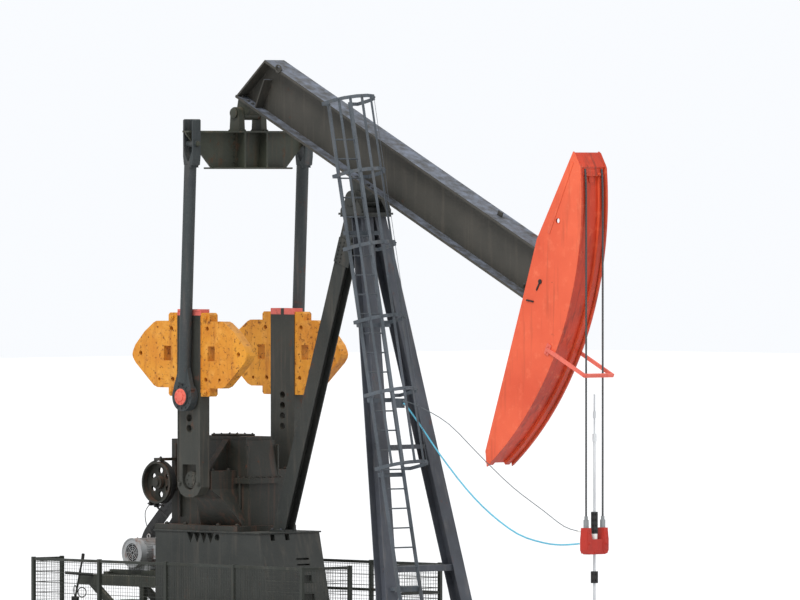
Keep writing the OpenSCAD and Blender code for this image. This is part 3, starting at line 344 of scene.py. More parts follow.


# the horsehead: orange-red sides, a deeper red face that is painted shade over the same paint, grime streaks
# on the face, rust stains running down
def makeHeadPaint():
    made = Finish("headPaint")
    broad = made.band(made.noise(0.9, 6.0), 0.3, 0.7)
    side = made.blend(broad, tone("e2623f"), tone("cf4f30"))
    # the deeper red of the arc face: painted shade over the same paint as the sides
    face = made.blend(broad, tone("c23a1c"), tone("a02c14"))
    grime = made.band(made.noise(5.0, 7.0, 0.7, (1.0, 2.5, 0.35)), 0.52, 0.66)
    face = made.blend(grime * 0.55, face, tone("4a1a10"))
    # painted shade: faces whose normal points along +X get the deeper red copy, grime included
    base = made.blend(made.band(made.facing(0), 0.2, 0.5), side, face)
    base = made.blend(made.band(made.noise(7.0, 6.0, 0.7), 0.55, 0.75) * 0.35, base, tone("f08862"))
    runs = made.band(made.noise(6.0, 4.0, 0.55, (2.0, 2.0, 0.14)), 0.55, 0.75)
    base = made.blend(runs * 0.4, base, tone("8c3a22"))
    rust = made.band(made.noise(4.0, 9.0, 0.72), 0.64, 0.68)
    base = made.blend(rust * 0.5, base, tone("5e2c18"))
    made.feed("Base Color", base)
    made.feed("Roughness", 0.42 + 0.3 * rust)
    made.feed("Specular IOR Level", 0.4)
    made.relief(made.noise(30.0) + rust, 0.003, 0.3)
    return made


# cast concrete: pale grey, form joints, darker towards the bottom
def makeConcrete():
    made = Finish("castConcrete")
    base = made.blend(made.band(made.noise(1.3, 8.0), 0.3, 0.7), tone("9b978c"), tone("837f74"))
    base = made.blend(made.band(made.noise(24.0, 6.0, 0.8), 0.5, 0.8) * 0.5, base, tone("b5b1a6"))
    # darker towards the bottom, over the lowest 0.3 m
    low = 1.0 - made.band(made.along(2) + 0.12 * made.noise(3.0), 0.05, 0.3)
    base = made.blend(low * 0.55, base, tone("5d5648"))
    pores = made.band(made.cells(55.0), 0.0, 0.12)
    base = made.blend((1.0 - pores) * 0.35, base, tone("5a564e"))
    made.feed("Base Color", base)
    made.feed("Roughness", 0.85)
    made.relief(made.noise(40.0, 8.0) + 0.6 * pores, 0.004, 0.6)
    return made


# bright polished rod with a thin film of oil
def makeRodSteel():
    made = Finish("rodSteel")
    film = made.band(made.noise(16.0, 5.0, 0.6, (1, 1, 0.1)), 0.4, 0.7)
    base = made.blend(film, tone("d8dadb"), tone("b4b7ba"))
    made.feed("Base Color", base)
    made.feed("Roughness", 0.22 + 0.2 * made.noise(60.0))
    made.feed("Metallic", 0.55)
    return made


# laid wire rope: dark, greasy, with the lay showing
def makeRopeSteel():
    made = Finish("ropeSteel")
    lay = addNode(made.tree, "ShaderNodeTexWave", {"bands_direction": "DIAGONAL"},
                  {"Vector": made.stretched((1, 1, 0.6)), "Scale": 26.0, "Distortion": 0.0})
    base = made.blend(made.band(lay, 0.2, 0.8), tone("242526"), tone("5f6163"))
    base = made.blend(made.band(made.noise(30.0), 0.5, 0.8) * 0.5, base, tone("4a3524"))
    made.feed("Base Color", base)
    made.feed("Roughness", 0.5)
    made.feed("Metallic", 0.4)
    made.relief(lay, 0.004, 0.7)
    return made


finishes["crankSteel"] = makeCrankSteel()
finishes["weightPaint"] = makeWeightPaint()
finishes["headPaint"] = makeHeadPaint()
finishes["castConcrete"] = makeConcrete()
finishes["rodSteel"] = makeRodSteel()
finishes["ropeSteel"] = makeRopeSteel()
report("finishes mixed")

nodeFinish = {
    "foundation": "castConcrete", "skid": "skidPaint", "pedestal": "charcoalPaint",
    "reducer_case": "casePaint", "reducer_upper_case": "casePaint", "rear_leg": "charcoalPaint",
    "front_legs": "legPaint", "leg_struts": "legPaint", "post_head": "charcoalPaint",
    "saddle_blocks": "charcoalPaint", "ladder": "ladderPaint", "cage_hoops": "ladderPaint",
    "cage_straps": "ladderPaint", "ladder_brackets": "ladderPaint", "motor_platform": "skidPaint",
    "motor": "motorPaint", "belt_guard": "guardPaint", "drive_belts": "guardPaint",
    "brake_lever": "clampIron", "fence_near": "fencePaint", "fence_far": "fencePaint",
    "fence_ends": "fencePaint", "belt_sheave": "clampIron", "brake_drum": "casePaint",
    "crankshaft": "crankSteel", "cranks": "crankSteel", "counterweights": "weightPaint",
    "walking_beam": "beamPaint", "saddle_casting": "charcoalPaint", "tail_casting": "equalPaint",
    "horsehead_sides": "headPaint", "horsehead_face": "headPaint", "wireline_guard": "salmonPaint",
    "upper_wires": "ropeSteel", "equalizer": "equalPaint", "pitmans": "pipePaint",
    "wrist_pins": "pipePaint", "carrier_bar": "redPaint", "wire_sockets": "galvanized",
    "polished_rod": "rodSteel", "rod_clamps": "clampIron", "load_cell": "cellPaint",
    "hanging_wires": "ropeSteel", "load_cable": "cyanSheath", "signal_cable": "greySheath"}


def dressNode(name, finish):
    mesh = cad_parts[name].data
    mesh.materials.clear()
    mesh.materials.append(finishes[finish].material)


for nodeName, finishName in nodeFinish.items():
    dressNode(nodeName, finishName)
report("nodes dressed")


def paint(piece, finish):
    piece.data.materials.clear()
    piece.data.materials.append(finishes[finish].material)


for cableName, cable in cables.items():
    paint(cable, cableSet[cableName]["finish"])


# small shapes that the pieces are put together from, each left as its own mesh
def clearPick():
    bpy.ops.object.select_all(action="DESELECT")


def facing(axis):
    return Vector(axis).to_track_quat("Z", "Y").to_euler()


def smallBlock(middle, size, turn=0.0, soft=0.0):
    clearPick()
    bpy.ops.mesh.primitive_cube_add(size=1.0, location=middle)
    made = bpy.context.object
    made.scale = size
    bpy.ops.object.transform_apply(location=False, rotation=False, scale=True)
    if soft:
        bpy.ops.object.mode_set(mode="EDIT")
        bpy.ops.mesh.select_all(action="SELECT")
        bpy.ops.mesh.bevel(offset=soft, segments=2, affect="EDGES")
        bpy.ops.object.mode_set(mode="OBJECT")
    made.rotation_euler = (0.0, turn, 0.0)
    return made


def disc(middle, axis, radius, depth, sides=32, soft=0.0):
    clearPick()
    bpy.ops.mesh.primitive_cylinder_add(vertices=sides, radius=radius, depth=depth, location=middle,
                                        rotation=facing(axis))
    made = bpy.context.object
    if soft:
        bpy.ops.object.mode_set(mode="EDIT")
        bpy.ops.mesh.select_all(action="DESELECT")
        bpy.ops.object.mode_set(mode="OBJECT")
        for edge in made.data.edges:
            low, high = (made.data.vertices[v].co.z for v in edge.vertices)
            edge.select = abs(low - high) < 1e-6
        bpy.ops.object.mode_set(mode="EDIT")
        bpy.ops.mesh.bevel(offset=soft, segments=2, affect="EDGES")
        bpy.ops.object.mode_set(mode="OBJECT")
    return made


def hoop(middle, axis, radius, thick, sides=36):
    clearPick()
    bpy.ops.mesh.primitive_torus_add(major_radius=radius, minor_radius=thick, major_segments=sides,
                                     minor_segments=8, location=middle, rotation=facing(axis))
    return bpy.context.object


def bar(start, end, radius, sides=12):
    start, end = Vector(start), Vector(end)
    return disc((start + end) / 2, end - start, radius, (end - start).length, sides)


def makeBolt():
    washer = disc((0, 0, 0.01), (0, 0, 1), 1.15, 0.24, 16)
    head = disc((0, 0, 0.45), (0, 0, 1), 1.0, 0.65, 6, 0.08)
    stub = disc((0, 0, 0.85), (0, 0, 1), 0.5, 0.45, 10)
    return fuse([washer, head, stub], "boltShape")


def fuse(parts, name):
    clearPick()
    for one in parts:
        one.select_set(True)
    bpy.context.view_layer.objects.active = parts[0]
    if len(parts) > 1:
        bpy.ops.object.join()
    bpy.ops.object.transform_apply(location=True, rotation=True, scale=True)
    made = bpy.context.object
    made.name = name
    return made


boltShape = makeBolt()


def bolt(place, axis, size):
    made = boltShape.copy()
    made.data = boltShape.data.copy()
    bpy.context.collection.objects.link(made)
    made.location = place
    made.rotation_euler = facing(axis)
    made.scale = (size, size, size)
    return made


smoothAngle = math.radians(35.0)


def settle(parts, name, finish, body):
    made = fuse(parts, name)
    paint(made, finish)
    clearPick()
    made.select_set(True)
    bpy.ops.object.mode_set(mode="EDIT")
    bpy.ops.mesh.select_all(action="SELECT")
    bpy.ops.mesh.normals_make_consistent(inside=False)
    bpy.ops.object.mode_set(mode="OBJECT")
    bpy.ops.object.shade_smooth_by_angle(angle=smoothAngle)
    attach(made, body)
    return made


def steps(low, high, count):
    return [low + (high - low) * i / (count - 1) for i in range(count)]


beamSet = {"tilt": 25.6, "saddle": (2.64, 6.737), "lean": 2.4254, "pin": 3.901, "shaft": 2.707}


def onBeam(along, across, up):
    turn = math.radians(beamSet["tilt"])
    return Vector((beamSet["saddle"][0] + along * math.cos(turn) + up * math.sin(turn), across,
                   beamSet["saddle"][1] - along * math.sin(turn) + up * math.cos(turn)))


def beamWay(along, across, up):
    return onBeam(along, across, up) - onBeam(0, 0, 0)


def onPitman(along, across, up):
    turn = math.radians(beamSet["lean"])
    return Vector((along * math.cos(turn) + up * math.sin(turn), across,
                   beamSet["pin"] - along * math.sin(turn) + up * math.cos(turn)))


def beamBlock(along, across, up, size, soft=0.0):
    return smallBlock(onBeam(along, across, up), size, turn=math.radians(beamSet["tilt"]), soft=soft)


# fence mesh: thin wires each way in every bay
meshSet = {"pitch": 0.05, "wire": 0.0035, "low": 0.14, "high": 1.485, "rear": -2.97, "front": 2.758,
           "side": 1.35}


def fenceMesh():
    wire = meshSet["wire"]
    low, high = meshSet["low"], meshSet["high"]
    middle, tall = (low + high) / 2, high - low
    parts = []
    rows = steps(low, high, int(tall / meshSet["pitch"]) + 1)
    for side in (-1, 1):
        y = side * meshSet["side"]
        span = meshSet["front"] - meshSet["rear"]
        for x in steps(meshSet["rear"] + 0.04, meshSet["front"] - 0.04, int(span / meshSet["pitch"])):
            parts.append(smallBlock((x, y, middle), (wire, wire, tall)))
        for z in rows:
            parts.append(smallBlock((meshSet["rear"] + span / 2, y, z), (span, wire, wire)))
        for x, inner, base in ((meshSet["rear"], 0.8, low), (meshSet["front"], 0.42, 0.92)):
            wide = 1.33 - inner
            for across in steps(inner + 0.03, 1.32, int(wide / meshSet["pitch"])):
                parts.append(smallBlock((x, side * across, (base + high) / 2), (wire, wire, high - base)))
            for z in rows:
                if z > base:
                    parts.append(smallBlock((x, side * (inner + wide / 2), z), (wire, wide, wire)))
    return settle(parts, "fenceMesh", "fencePaint", "frame")


fenceMesh()
report("fence mesh")


# bolts, ribs and lids on the reducer and the pedestal
caseSet = {"bolt": 0.022, "capBolt": 0.034, "rim": 0.305, "rear": -1.17, "front": 0.53,
           "ribs": (-1.06, -0.62, 0.47), "webs": (-0.95, -0.5, 0.33), "feet": (-1.0, -0.6, 0.1, 0.5)}


def caseDetail():
    parts = []
    z = beamSet["shaft"] + 0.02
    for side in (-1, 1):
        for x in steps(caseSet["rear"], caseSet["front"], 16):
            if abs(x) > 0.28:
                parts.append(bolt((x, side * caseSet["rim"], z), (0, 0, 1), caseSet["bolt"]))
        for x in (-0.185, 0.185):
            for y in (0.40, 0.72):
                parts.append(bolt((x, side * y, z + 0.105), (0, 0, 1), caseSet["capBolt"]))
        for x in caseSet["ribs"]:
            parts.append(smallBlock((x, side * 0.292, 2.95), (0.05, 0.03, 0.5), soft=0.008))
        for x in caseSet["webs"]:
            parts.append(smallBlock((x, side * 0.3, 2.39), (0.03, 0.05, 0.5), soft=0.006))
        for x in caseSet["feet"]:
            parts.append(bolt((x, side * 0.52, 2.041), (0, 0, 1), caseSet["capBolt"]))
    for y in steps(-0.24, 0.24, 5):
        parts.append(bolt((caseSet["front"], y, z), (0, 0, 1), caseSet["bolt"]))
        parts.append(bolt((-1.185, y, z), (0, 0, 1), caseSet["bolt"]))
    parts.append(smallBlock((-0.15, 0.0, 3.335), (0.55, 0.36, 0.03), soft=0.008))
    for x in steps(-0.39, 0.09, 4):
        for y in (-0.155, 0.155):
            parts.append(bolt((x, y, 3.35), (0, 0, 1), 0.014))
    return settle(parts, "reducerDetail", "casePaint", "frame")


pedestalSet = {"top": 1.961, "half": 0.59, "rear": -1.17, "front": 1.035}


def pedestalDetail():
    top, half = pedestalSet["top"], pedestalSet["half"]
    parts = []
    middle = (pedestalSet["rear"] + pedestalSet["front"]) / 2
    span = pedestalSet["front"] - pedestalSet["rear"]
    for side in (-1, 1):
        parts.append(smallBlock((middle, side * half, top - 0.008), (span + 0.05, 0.04, 0.022), soft=0.003))
        parts.append(smallBlock((middle, side * half, 0.885), (span + 0.2, 0.03, 0.03), soft=0.005))
        for x in (-1.05, -0.5, 0.1, 0.7, 1.15):
            parts.append(smallBlock((x, side * (half + 0.05), 0.866), (0.12, 0.09, 0.02), soft=0.003))
            parts.append(bolt((x, side * (half + 0.06), 0.877), (0, 0, 1), 0.024))
    parts.append(smallBlock((pedestalSet["rear"], 0.0, top - 0.008), (0.04, 2 * half, 0.022), soft=0.003))
    parts.append(smallBlock((pedestalSet["front"], 0.0, top - 0.008), (0.04, 2 * half, 0.022), soft=0.003))
    return settle(parts, "pedestalDetail", "charcoalPaint", "frame")


caseDetail()
pedestalDetail()
report("reducer and pedestal detail")


# the motor: fan cowl with rings, cooling fins, box and bolts
motorSet = {"centre": (-2.3, 1.574), "radius": 0.214, "front": -0.03, "fins": 40, "cowl": 0.2135}


def motorDetail():
    x, z = motorSet["centre"]
    parts = []
    for i in range(motorSet["fins"]):
        turn = math.tau * i / motorSet["fins"]
        out = Vector((math.cos(turn), 0.0, math.sin(turn)))
        if out.z < -0.55:
            continue
        fin = smallBlock((0, 0, 0), (0.014, 0.42, 0.006))
        fin.rotation_euler = (0.0, -turn, 0.0)
        fin.location = Vector((x, 0.31, z)) + out * 0.207
        parts.append(fin)
    for radius in (0.212, 0.2):
        parts.append(hoop((x, motorSet["front"], z), (0, 1, 0), radius, 0.007, 48))
    for radius in (0.035, 0.065, 0.095, 0.125):
        parts.append(hoop((x, motorSet["front"] + 0.012, z), (0, 1, 0), radius, 0.004, 32))
    for i in range(8):
        turn = math.tau * i / 8
        way = Vector((math.cos(turn), 0.0, math.sin(turn)))
        parts.append(bar(Vector((x, motorSet["front"] + 0.012, z)) + way * 0.02,
                         Vector((x, motorSet["front"] + 0.012, z)) + way * 0.14, 0.004, 8))
        parts.append(bolt(Vector((x, 0.081, z)) + way * motorSet["cowl"], way, 0.012))
    parts.append(smallBlock((x + 0.305, 0.31, z + 0.01), (0.02, 0.22, 0.22), soft=0.006))
    for y in (0.22, 0.4):
        for up in (-0.08, 0.1):
            parts.append(bolt((x + 0.316, y, z + up), (1, 0, 0), 0.01))
    parts.append(hoop((x, 0.3, z + 0.235), (0, 1, 0), 0.03, 0.009, 24))
    for side in (-0.17, 0.17):
        for y in (0.115, 0.485):
            parts.append(bolt((x + side, y, 1.41), (0, 0, 1), 0.022))
    return settle(parts, "motorDetail", "motorPaint", "frame")


# a thin dark disc behind the grille rings: painted shade for the shadowed inside of the fan cowl
def fanPaintedShadow():
    x, z = motorSet["centre"]
    shadowDisc = disc((x, motorSet["front"] + 0.024, z), (0, 1, 0), 0.137, 0.004, 40)
    return settle([shadowDisc], "fanPaintedShadow", "clampIron", "frame")


motorDetail()
fanPaintedShadow()
report("motor detail")


# brake: lined band round the drum, its rods and the lever with its loops
brakeSet = {"centre": (-1.13, 2.637), "drum": 0.305, "gap": 0.008, "middle": -0.555}


def brakeDetail():
    x, z = brakeSet["centre"]
    reach = brakeSet["drum"] + brakeSet["gap"] + 0.006
    parts = []
    for i in range(-5, 34):
        turn = math.radians(i * 8 - 40)
        piece = smallBlock((0, 0, 0), (0.008, 0.07, 0.047))
        piece.rotation_euler = (0.0, -turn, 0.0)
        piece.location = (x + reach * math.cos(turn), brakeSet["middle"], z + reach * math.sin(turn))
        parts.append(piece)
    low = z - reach
    for offset in (-0.16, -0.05):
        parts.append(smallBlock((x + offset, brakeSet["middle"], low - 0.005 + 0.02 * (offset < -0.1)),
                                (0.03, 0.09, 0.07), soft=0.004))
    parts.append(bar((x - 0.24, brakeSet["middle"], low + 0.01),
                     (x + 0.1, brakeSet["middle"], low - 0.02), 0.012))
    parts.append(bar((x - 0.05, brakeSet["middle"], low - 0.03), (x + 0.12, -0.5, low - 0.19), 0.014))
    parts.append(bolt((x + 0.03, -0.55, z + brakeSet["drum"] + 0.052), (0, 0, 1), 0.02))
    pull = ((x - 0.2, -0.56, low), (x - 0.27, -0.58, low - 0.12), (x - 0.22, -0.6, low - 0.3),
            (x - 0.1, -0.605, low - 0.42))
    parts.append(tubeAlong(curvePoints(pull, 5), 0.006, 8))
    return settle(parts, "brakeDetail", "clampIron", "frame")


def leverDetail():
    parts = [disc((-2.603, -0.72, 1.515), (0.2, 0, 1), 0.024, 0.12, 16, 0.006)]
    parts.append(hoop((-2.77, -0.72, 1.03), (0.5, 1, 0), 0.075, 0.008, 28))
    parts.append(hoop((-2.62, -0.72, 1.01), (-0.3, 1, 0), 0.07, 0.008, 28))
    parts.append(bar((-2.9, -0.8, 1.29), (-2.62, -0.5, 1.26), 0.022, 12))
    return settle(parts, "leverDetail", "clampIron", "frame")


brakeDetail()
leverDetail()
report("brake detail")


# cranks and weights: bolts, raised rims, shaft end
crankDetailSet = {"face": 0.995, "lugs": ((0.35, 2.335), (0.35, 1.262)), "pins": 4, "firstPin": 1.194,
                  "pinPitch": 0.152, "pinHole": 0.058}


def weightDetail():
    parts = []
    shaft = beamSet["shaft"]
    for side in (-1, 1):
        face = side * crankDetailSet["face"]
        for hand in (-1, 1):
            for t, r in crankDetailSet["lugs"]:
                parts.append(bolt((hand * t, face, shaft + r), (0, side, 0), 0.042))
            parts.append(smallBlock((hand * 0.257, face + side * 0.004, shaft + 1.8), (0.012, 0.012, 1.1),
                                    soft=0.003))
    return settle(parts, "weightBolts", "weightPaint", "crank")


def crankDetail():
    parts = []
    shaft = beamSet["shaft"]
    for side in (-1, 1):
        face = side * crankDetailSet["face"]
        inner = side * (crankDetailSet["face"] - 0.03)
        parts.append(disc((0, inner + side * 0.004, shaft), (0, 1, 0), 0.1, 0.012, 40, 0.003))
        for i in range(6):
            turn = math.tau * i / 6
            parts.append(bolt((0.072 * math.cos(turn), inner + side * 0.01, shaft + 0.072 * math.sin(turn)),
                              (0, side, 0), 0.012))
        for i in range(crankDetailSet["pins"]):
            up = shaft + crankDetailSet["firstPin"] - crankDetailSet["pinPitch"] * i
            parts.append(hoop((0, face + side * 0.001, up), (0, 1, 0), crankDetailSet["pinHole"], 0.005, 36))
        for hand in (-1, 1):
            parts.append(smallBlock((hand * 0.235, face + side * 0.003, shaft + 1.17), (0.02, 0.008, 2.5),
                                    soft=0.002))
            parts.append(bolt((hand * 0.2, face, shaft - 0.06), (0, side, 0), 0.028))
        parts.append(smallBlock((0, face + side * 0.003, shaft + 2.43), (0.45, 0.008, 0.02), soft=0.002))
    return settle(parts, "crankDetail", "crankSteel", "crank")


weightDetail()
crankDetail()
report("crank detail")


# wrist pin caps: painted ring, inner plate and bolts
capSet = {"out": 1.165, "bolts": 8, "ringBolts": 12, "ring": 0.168, "plate": 1.1395}


def capDetail():
    ring, bolts = [], []
    for side in (-1, 1):
        face = side * capSet["out"]
        ring.append(disc(onPitman(0, face + side * 0.004, 0), (0, 1, 0), 0.118, 0.012, 48, 0.004))
        ring.append(disc(onPitman(0, face + side * 0.014, 0), (0, 1, 0), 0.066, 0.02, 36, 0.005))
        for i in range(capSet["bolts"]):
            turn = math.tau * (i + 0.5) / capSet["bolts"]
            ring.append(bolt(onPitman(0.092 * math.cos(turn), face + side * 0.008, 0.092 * math.sin(turn)),
                             (0, side, 0), 0.013))
        for i in range(capSet["ringBolts"]):
            turn = math.tau * i / capSet["ringBolts"]
            place = onPitman(capSet["ring"] * math.cos(turn), side * capSet["plate"],
                             capSet["ring"] * math.sin(turn))
            bolts.append(bolt(place, (0, side, 0), 0.015))
    settle(ring, "capRings", "salmonPaint", "pitman_set")
    settle(bolts, "capBolts", "pipePaint", "pitman_set")


equalSet = {"x": 0.17255, "pin": 7.9746, "drop": 0.255, "rows": (-0.05, -0.13, -0.21, -0.29, -0.37, -0.45)}


def equalizerDetail():
    parts = []
    x, top = equalSet["x"], equalSet["pin"] - equalSet["drop"]
    for side in (-1, 1):
        for y in (0.19, 0.245):
            for hand in (-1, 1):
                parts.append(bolt((x + hand * 0.13, side * y, top), (0, 0, 1), 0.02))
        for hand in (-1, 1):
            parts.append(bolt((x + hand * 0.126, side * 1.1, top - 0.19), (hand, 0, 0), 0.036))
            for up in equalSet["rows"]:
                parts.append(bolt((x + hand * 0.016, side * 0.29, top + up), (hand, 0, 0), 0.014))
        parts.append(disc((x, side * 0.292, equalSet["pin"]), (0, 1, 0), 0.075, 0.012, 32, 0.004))
    return settle(parts, "equalizerDetail", "equalPaint", "pitman_set")


capDetail()
equalizerDetail()
report("pitman detail")


# walking beam: clips along its flange, saddle and tail bolts, lifting ring and lug
spineSet = {"low": 0.225, "high": 0.975, "half": 0.19}


def beamDetail():
    low, high, half = spineSet["low"], spineSet["high"], spineSet["half"]
    parts = []
    for side in (-1, 1):
        for along in (-0.19, -0.08, 0.08, 0.19):
            parts.append(bolt(onBeam(along, side * 0.13, low + 0.037), beamWay(0, 0, 1), 0.026))
        for along in (-2.86, -2.72, -2.62):
            parts.append(bolt(onBeam(along, side * 0.12, low + 0.037), beamWay(0, 0, 1), 0.024))
        for along in (3.45, 3.6):
            for up in (0.33, 0.86):
                parts.append(bolt(onBeam(along, side * 0.013, up), (0, side, 0), 0.024))
        for along in steps(-2.3, 3.3, 15):
            parts.append(beamBlock(along, side * (half - 0.016), high - 0.031, (0.05, 0.01, 0.014), 0.002))
    parts.append(beamBlock(-2.27, 0.02 - half, high + 0.012, (0.1, 0.03, 0.03), 0.006))
    parts.append(hoop(onBeam(-2.27, -half - 0.004, high + 0.012), (0, 1, 0.0), 0.052, 0.013, 28))
    parts.append(beamBlock(2.57, 0.0, high + 0.035, (0.1, 0.024, 0.08), 0.01))
    return settle(parts, "beamDetail", "beamPaint", "beam")


def saddleDetail():
    parts = []
    x, z = beamSet["saddle"]
    for side in (-1, 1):
        parts.append(disc((x, side * 0.297, z), (0, 1, 0), 0.098, 0.016, 40, 0.005))
        for i in range(8):
            turn = math.tau * i / 8
            place = (x + 0.1 * math.cos(turn), side * 0.2895, z + 0.1 * math.sin(turn))
            parts.append(bolt(place, (0, side, 0), 0.013))
        for hand in (-1, 1):
            parts.append(bolt((x + hand * 0.17, side * 0.232, z - 0.145), (0, 0, 1), 0.028))
            parts.append(smallBlock((x + hand * 0.235, side * 0.15, z - 0.19), (0.03, 0.2, 0.012)))
    return settle(parts, "saddleBolts", "charcoalPaint", "frame")


beamDetail()
saddleDetail()
report("beam detail")


# horsehead: rims on the arc and the holes, a seam and a lug on each side, the wires' seat at the top
headSet = {"half": 0.255, "strips": 56, "low": -27.9, "sweep": 59.0, "rim": 4.641, "face": 4.562,
           "hole": (3.89, 1.54), "lug": (3.94, 0.62), "wire": 0.162, "wireArc": 4.6395,
           "seat": 30.3}


def onArc(angle, across, radius):
    turn = math.radians(angle)
    return onBeam(radius * math.cos(turn), across, radius * math.sin(turn))


def headDetail():
    parts = []
    for side in (-1, 1):
        for i in range(headSet["strips"]):
            angle = headSet["low"] + headSet["sweep"] * (i + 0.5) / headSet["strips"]
            piece = smallBlock((0, 0, 0), (0.012, 0.03, 0.0895))
            piece.rotation_euler = (0.0, math.radians(beamSet["tilt"] - angle), 0.0)
            piece.location = onArc(angle, side * (headSet["half"] - 0.012), headSet["rim"])
            parts.append(piece)
        hole = onBeam(headSet["hole"][0], side * 0.256, headSet["hole"][1])
        parts.append(hoop(hole, (0, 1, 0), 0.04, 0.005, 32))
        parts.append(beamBlock(3.8, side * 0.257, 1.85, (0.05, 0.006, 1.1), 0.002))
    for angle in (-24, -19, -13.5):
        parts.append(disc(onArc(angle, 0.0, headSet["face"]), beamWay(math.cos(math.radians(angle)), 0,
                                                             math.sin(math.radians(angle))), 0.03, 0.012, 20))
    return settle(parts, "headDetail", "headPaint", "beam")


# a dark hooked lug on each side plate, with a short bar below it
def headLugs():
    parts = []
    for side in (-1, 1):
        eye = onBeam(headSet["lug"][0], side * 0.262, headSet["lug"][1])
        parts.append(disc(eye, (0, side, 0), 0.034, 0.012, 24, 0.003))
        parts.append(bar(eye, eye + Vector((-0.07, 0.0, -0.12)), 0.012, 12))
        parts.append(bar(eye + Vector((-0.27, 0.0, -0.26)), eye + Vector((-0.13, 0.0, -0.28)), 0.012, 12))
    return settle(parts, "headLugs", "clampIron", "beam")


def ropeSeat():
    turn = math.radians(beamSet["tilt"] - headSet["seat"])
    parts = [smallBlock(onArc(headSet["seat"], 0.0, 4.6), (0.05, 0.4, 0.1), turn=turn, soft=0.012)]
    parts.append(disc(onArc(29.2, 0.0, 4.585), beamWay(1, 0, 0.5), 0.055, 0.03, 28, 0.006))
    for side in (-1, 1):
        parts.append(disc(onArc(30.0, side * 0.12, 4.63), beamWay(1, 0, 0.5), 0.022, 0.03, 20, 0.004))
    return settle(parts, "ropeSeat", "headPaint", "beam")


def ropeEnds():
    arcs = []
    for side in (-1, 1):
        run = [onArc(a, side * headSet["wire"], headSet["wireArc"]) for a in steps(30.1, 30.9, 4)]
        arcs.append(tubeAlong(run, 0.0145, 12))
    return settle(arcs, "ropeEnds", "ropeSteel", "beam")


# the two wires that hang to the carrier, as straight bars of fixed length
dropSet = {"x": 7.28, "side": headSet["wire"], "low": 2.3335, "high": 6.737, "radius": 0.0139, "keep": 0.0578}


def hangingWires():
    x, low, high = dropSet["x"], dropSet["low"], dropSet["high"]
    parts = []
    for side in (-1, 1):
        y = side * dropSet["side"]
        parts.append(bar((x, y, low), (x, y, high), dropSet["radius"], 20))
    made = settle(parts, "hangingWires", "ropeSteel", "frame")
    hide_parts("hanging_wires")
    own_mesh(made)
    return made


def guardDetail():
    parts = []
    for side in (-1, 1):
        parts.append(beamBlock(4.49, side * 0.262, -0.165, (0.09, 0.014, 0.16), 0.004))
        for up in (-0.22, -0.11):
            parts.append(bolt(onBeam(4.49, side * 0.269, up), (0, side, 0), 0.014))
        parts.append(bolt(onBeam(5.31, side * 0.287, -0.165), (0, side, 0), 0.014))
    return settle(parts, "guardBrackets", "salmonPaint", "beam")


headDetail()
headLugs()
ropeSeat()
ropeEnds()
hangingWires()
guardDetail()
report("horsehead detail")


# carrier: saddle straps over the ears, pins, clamp bolts and the signal plug
carrierSet = {"x": 7.28, "top": 2.012, "wire": headSet["wire"],
              "clamps": ((2.089, 0.305, 4), (1.4, 0.165, 2))}


def carrierDetail():
    x, top = carrierSet["x"], carrierSet["top"]
    parts = []
    for side in (-1, 1):
        y = side * carrierSet["wire"]
        for hand in (-1, 1):
            parts.append(disc((x + hand * 0.066, y, top - 0.06), (1, 0, 0), 0.034, 0.012, 28, 0.004))
            parts.append(bolt((x + hand * 0.07, y, top - 0.06), (hand, 0, 0), 0.017))
            parts.append(bolt((x + hand * 0.065, y, top + 0.09), (hand, 0, 0), 0.012))
            parts.append(smallBlock((x + hand * 0.064, y, top - 0.02), (0.012, 0.07, 0.25), soft=0.004))
    parts.append(smallBlock((x, 0.0, top - 0.18), (0.135, 0.12, 0.02), soft=0.004))
    return settle(parts, "carrierDetail", "redPaint", "carrier")


def clampDetail():
    x = carrierSet["x"]
    parts = []
    for low, tall, count in carrierSet["clamps"]:
        for i in range(count):
            z = low + tall * (i + 0.5) / count
            for hand in (-1, 1):
                parts.append(bolt((x + hand * 0.034, 0.0, z), (hand, 0, 0), 0.016))
                parts.append(bolt((x, hand * 0.036, z), (0, hand, 0), 0.012))
    return settle(parts, "clampBolts", "clampIron", "carrier")


def plugDetail():
    parts = [bar((7.1, -0.162, 2.12), (7.212, -0.162, 2.12), 0.011, 16)]
    parts.append(bar((7.17, -0.162, 1.95), (7.212, -0.162, 1.95), 0.019, 16))
    return settle(parts, "cablePlugs", "cellPaint", "carrier")


carrierDetail()
clampDetail()
plugDetail()
report("carrier detail")


# ladder, cage and post: leg bolts, splice plates, rivets and the junction box's lid
postSet = {"footX": 3.89, "footY": 0.745, "lean": 0.21133, "spread": 0.1101, "low": 0.856,
           "struts": (1.51, 3.225)}


def onLeg(z, side, forward=0.0, out=0.0):
    rise = z - postSet["low"]
    return Vector((postSet["footX"] - postSet["lean"] * rise + forward,
                   side * (postSet["footY"] - postSet["spread"] * rise + out), z))


def legDetail():
    parts = []
    for side in (-1, 1):
        for z in postSet["struts"]:
            parts.append(bolt(onLeg(z, side, 0.0, 0.012), (0, side, 0), 0.022))
            parts.append(bolt(onLeg(z + 0.07, side, 0.0, 0.012), (0, side, 0), 0.022))
        for forward in (-0.13, 0.13):
            for out in (-0.12, 0.12):
                foot = (postSet["footX"] + forward, side * postSet["footY"] + out, 0.886)
                parts.append(bolt(foot, (0, 0, 1), 0.03))
        for x in (0.815, 0.995):
            parts.append(bolt((x, side * 0.123, 1.991), (0, 0, 1), 0.022))
    return settle(parts, "legBolts", "legPaint", "frame")


# bolted splice plates where the rear leg meets the front legs
rearSet = {"footX": 0.905, "slope": 0.3358, "low": 1.961, "plate": 5.98, "firstBolt": 5.84, "pitch": 0.056,
           "bolts": 6}


def onRear(z, offset, across):
    return Vector((rearSet["footX"] + rearSet["slope"] * (z - rearSet["low"]) + offset, across, z))


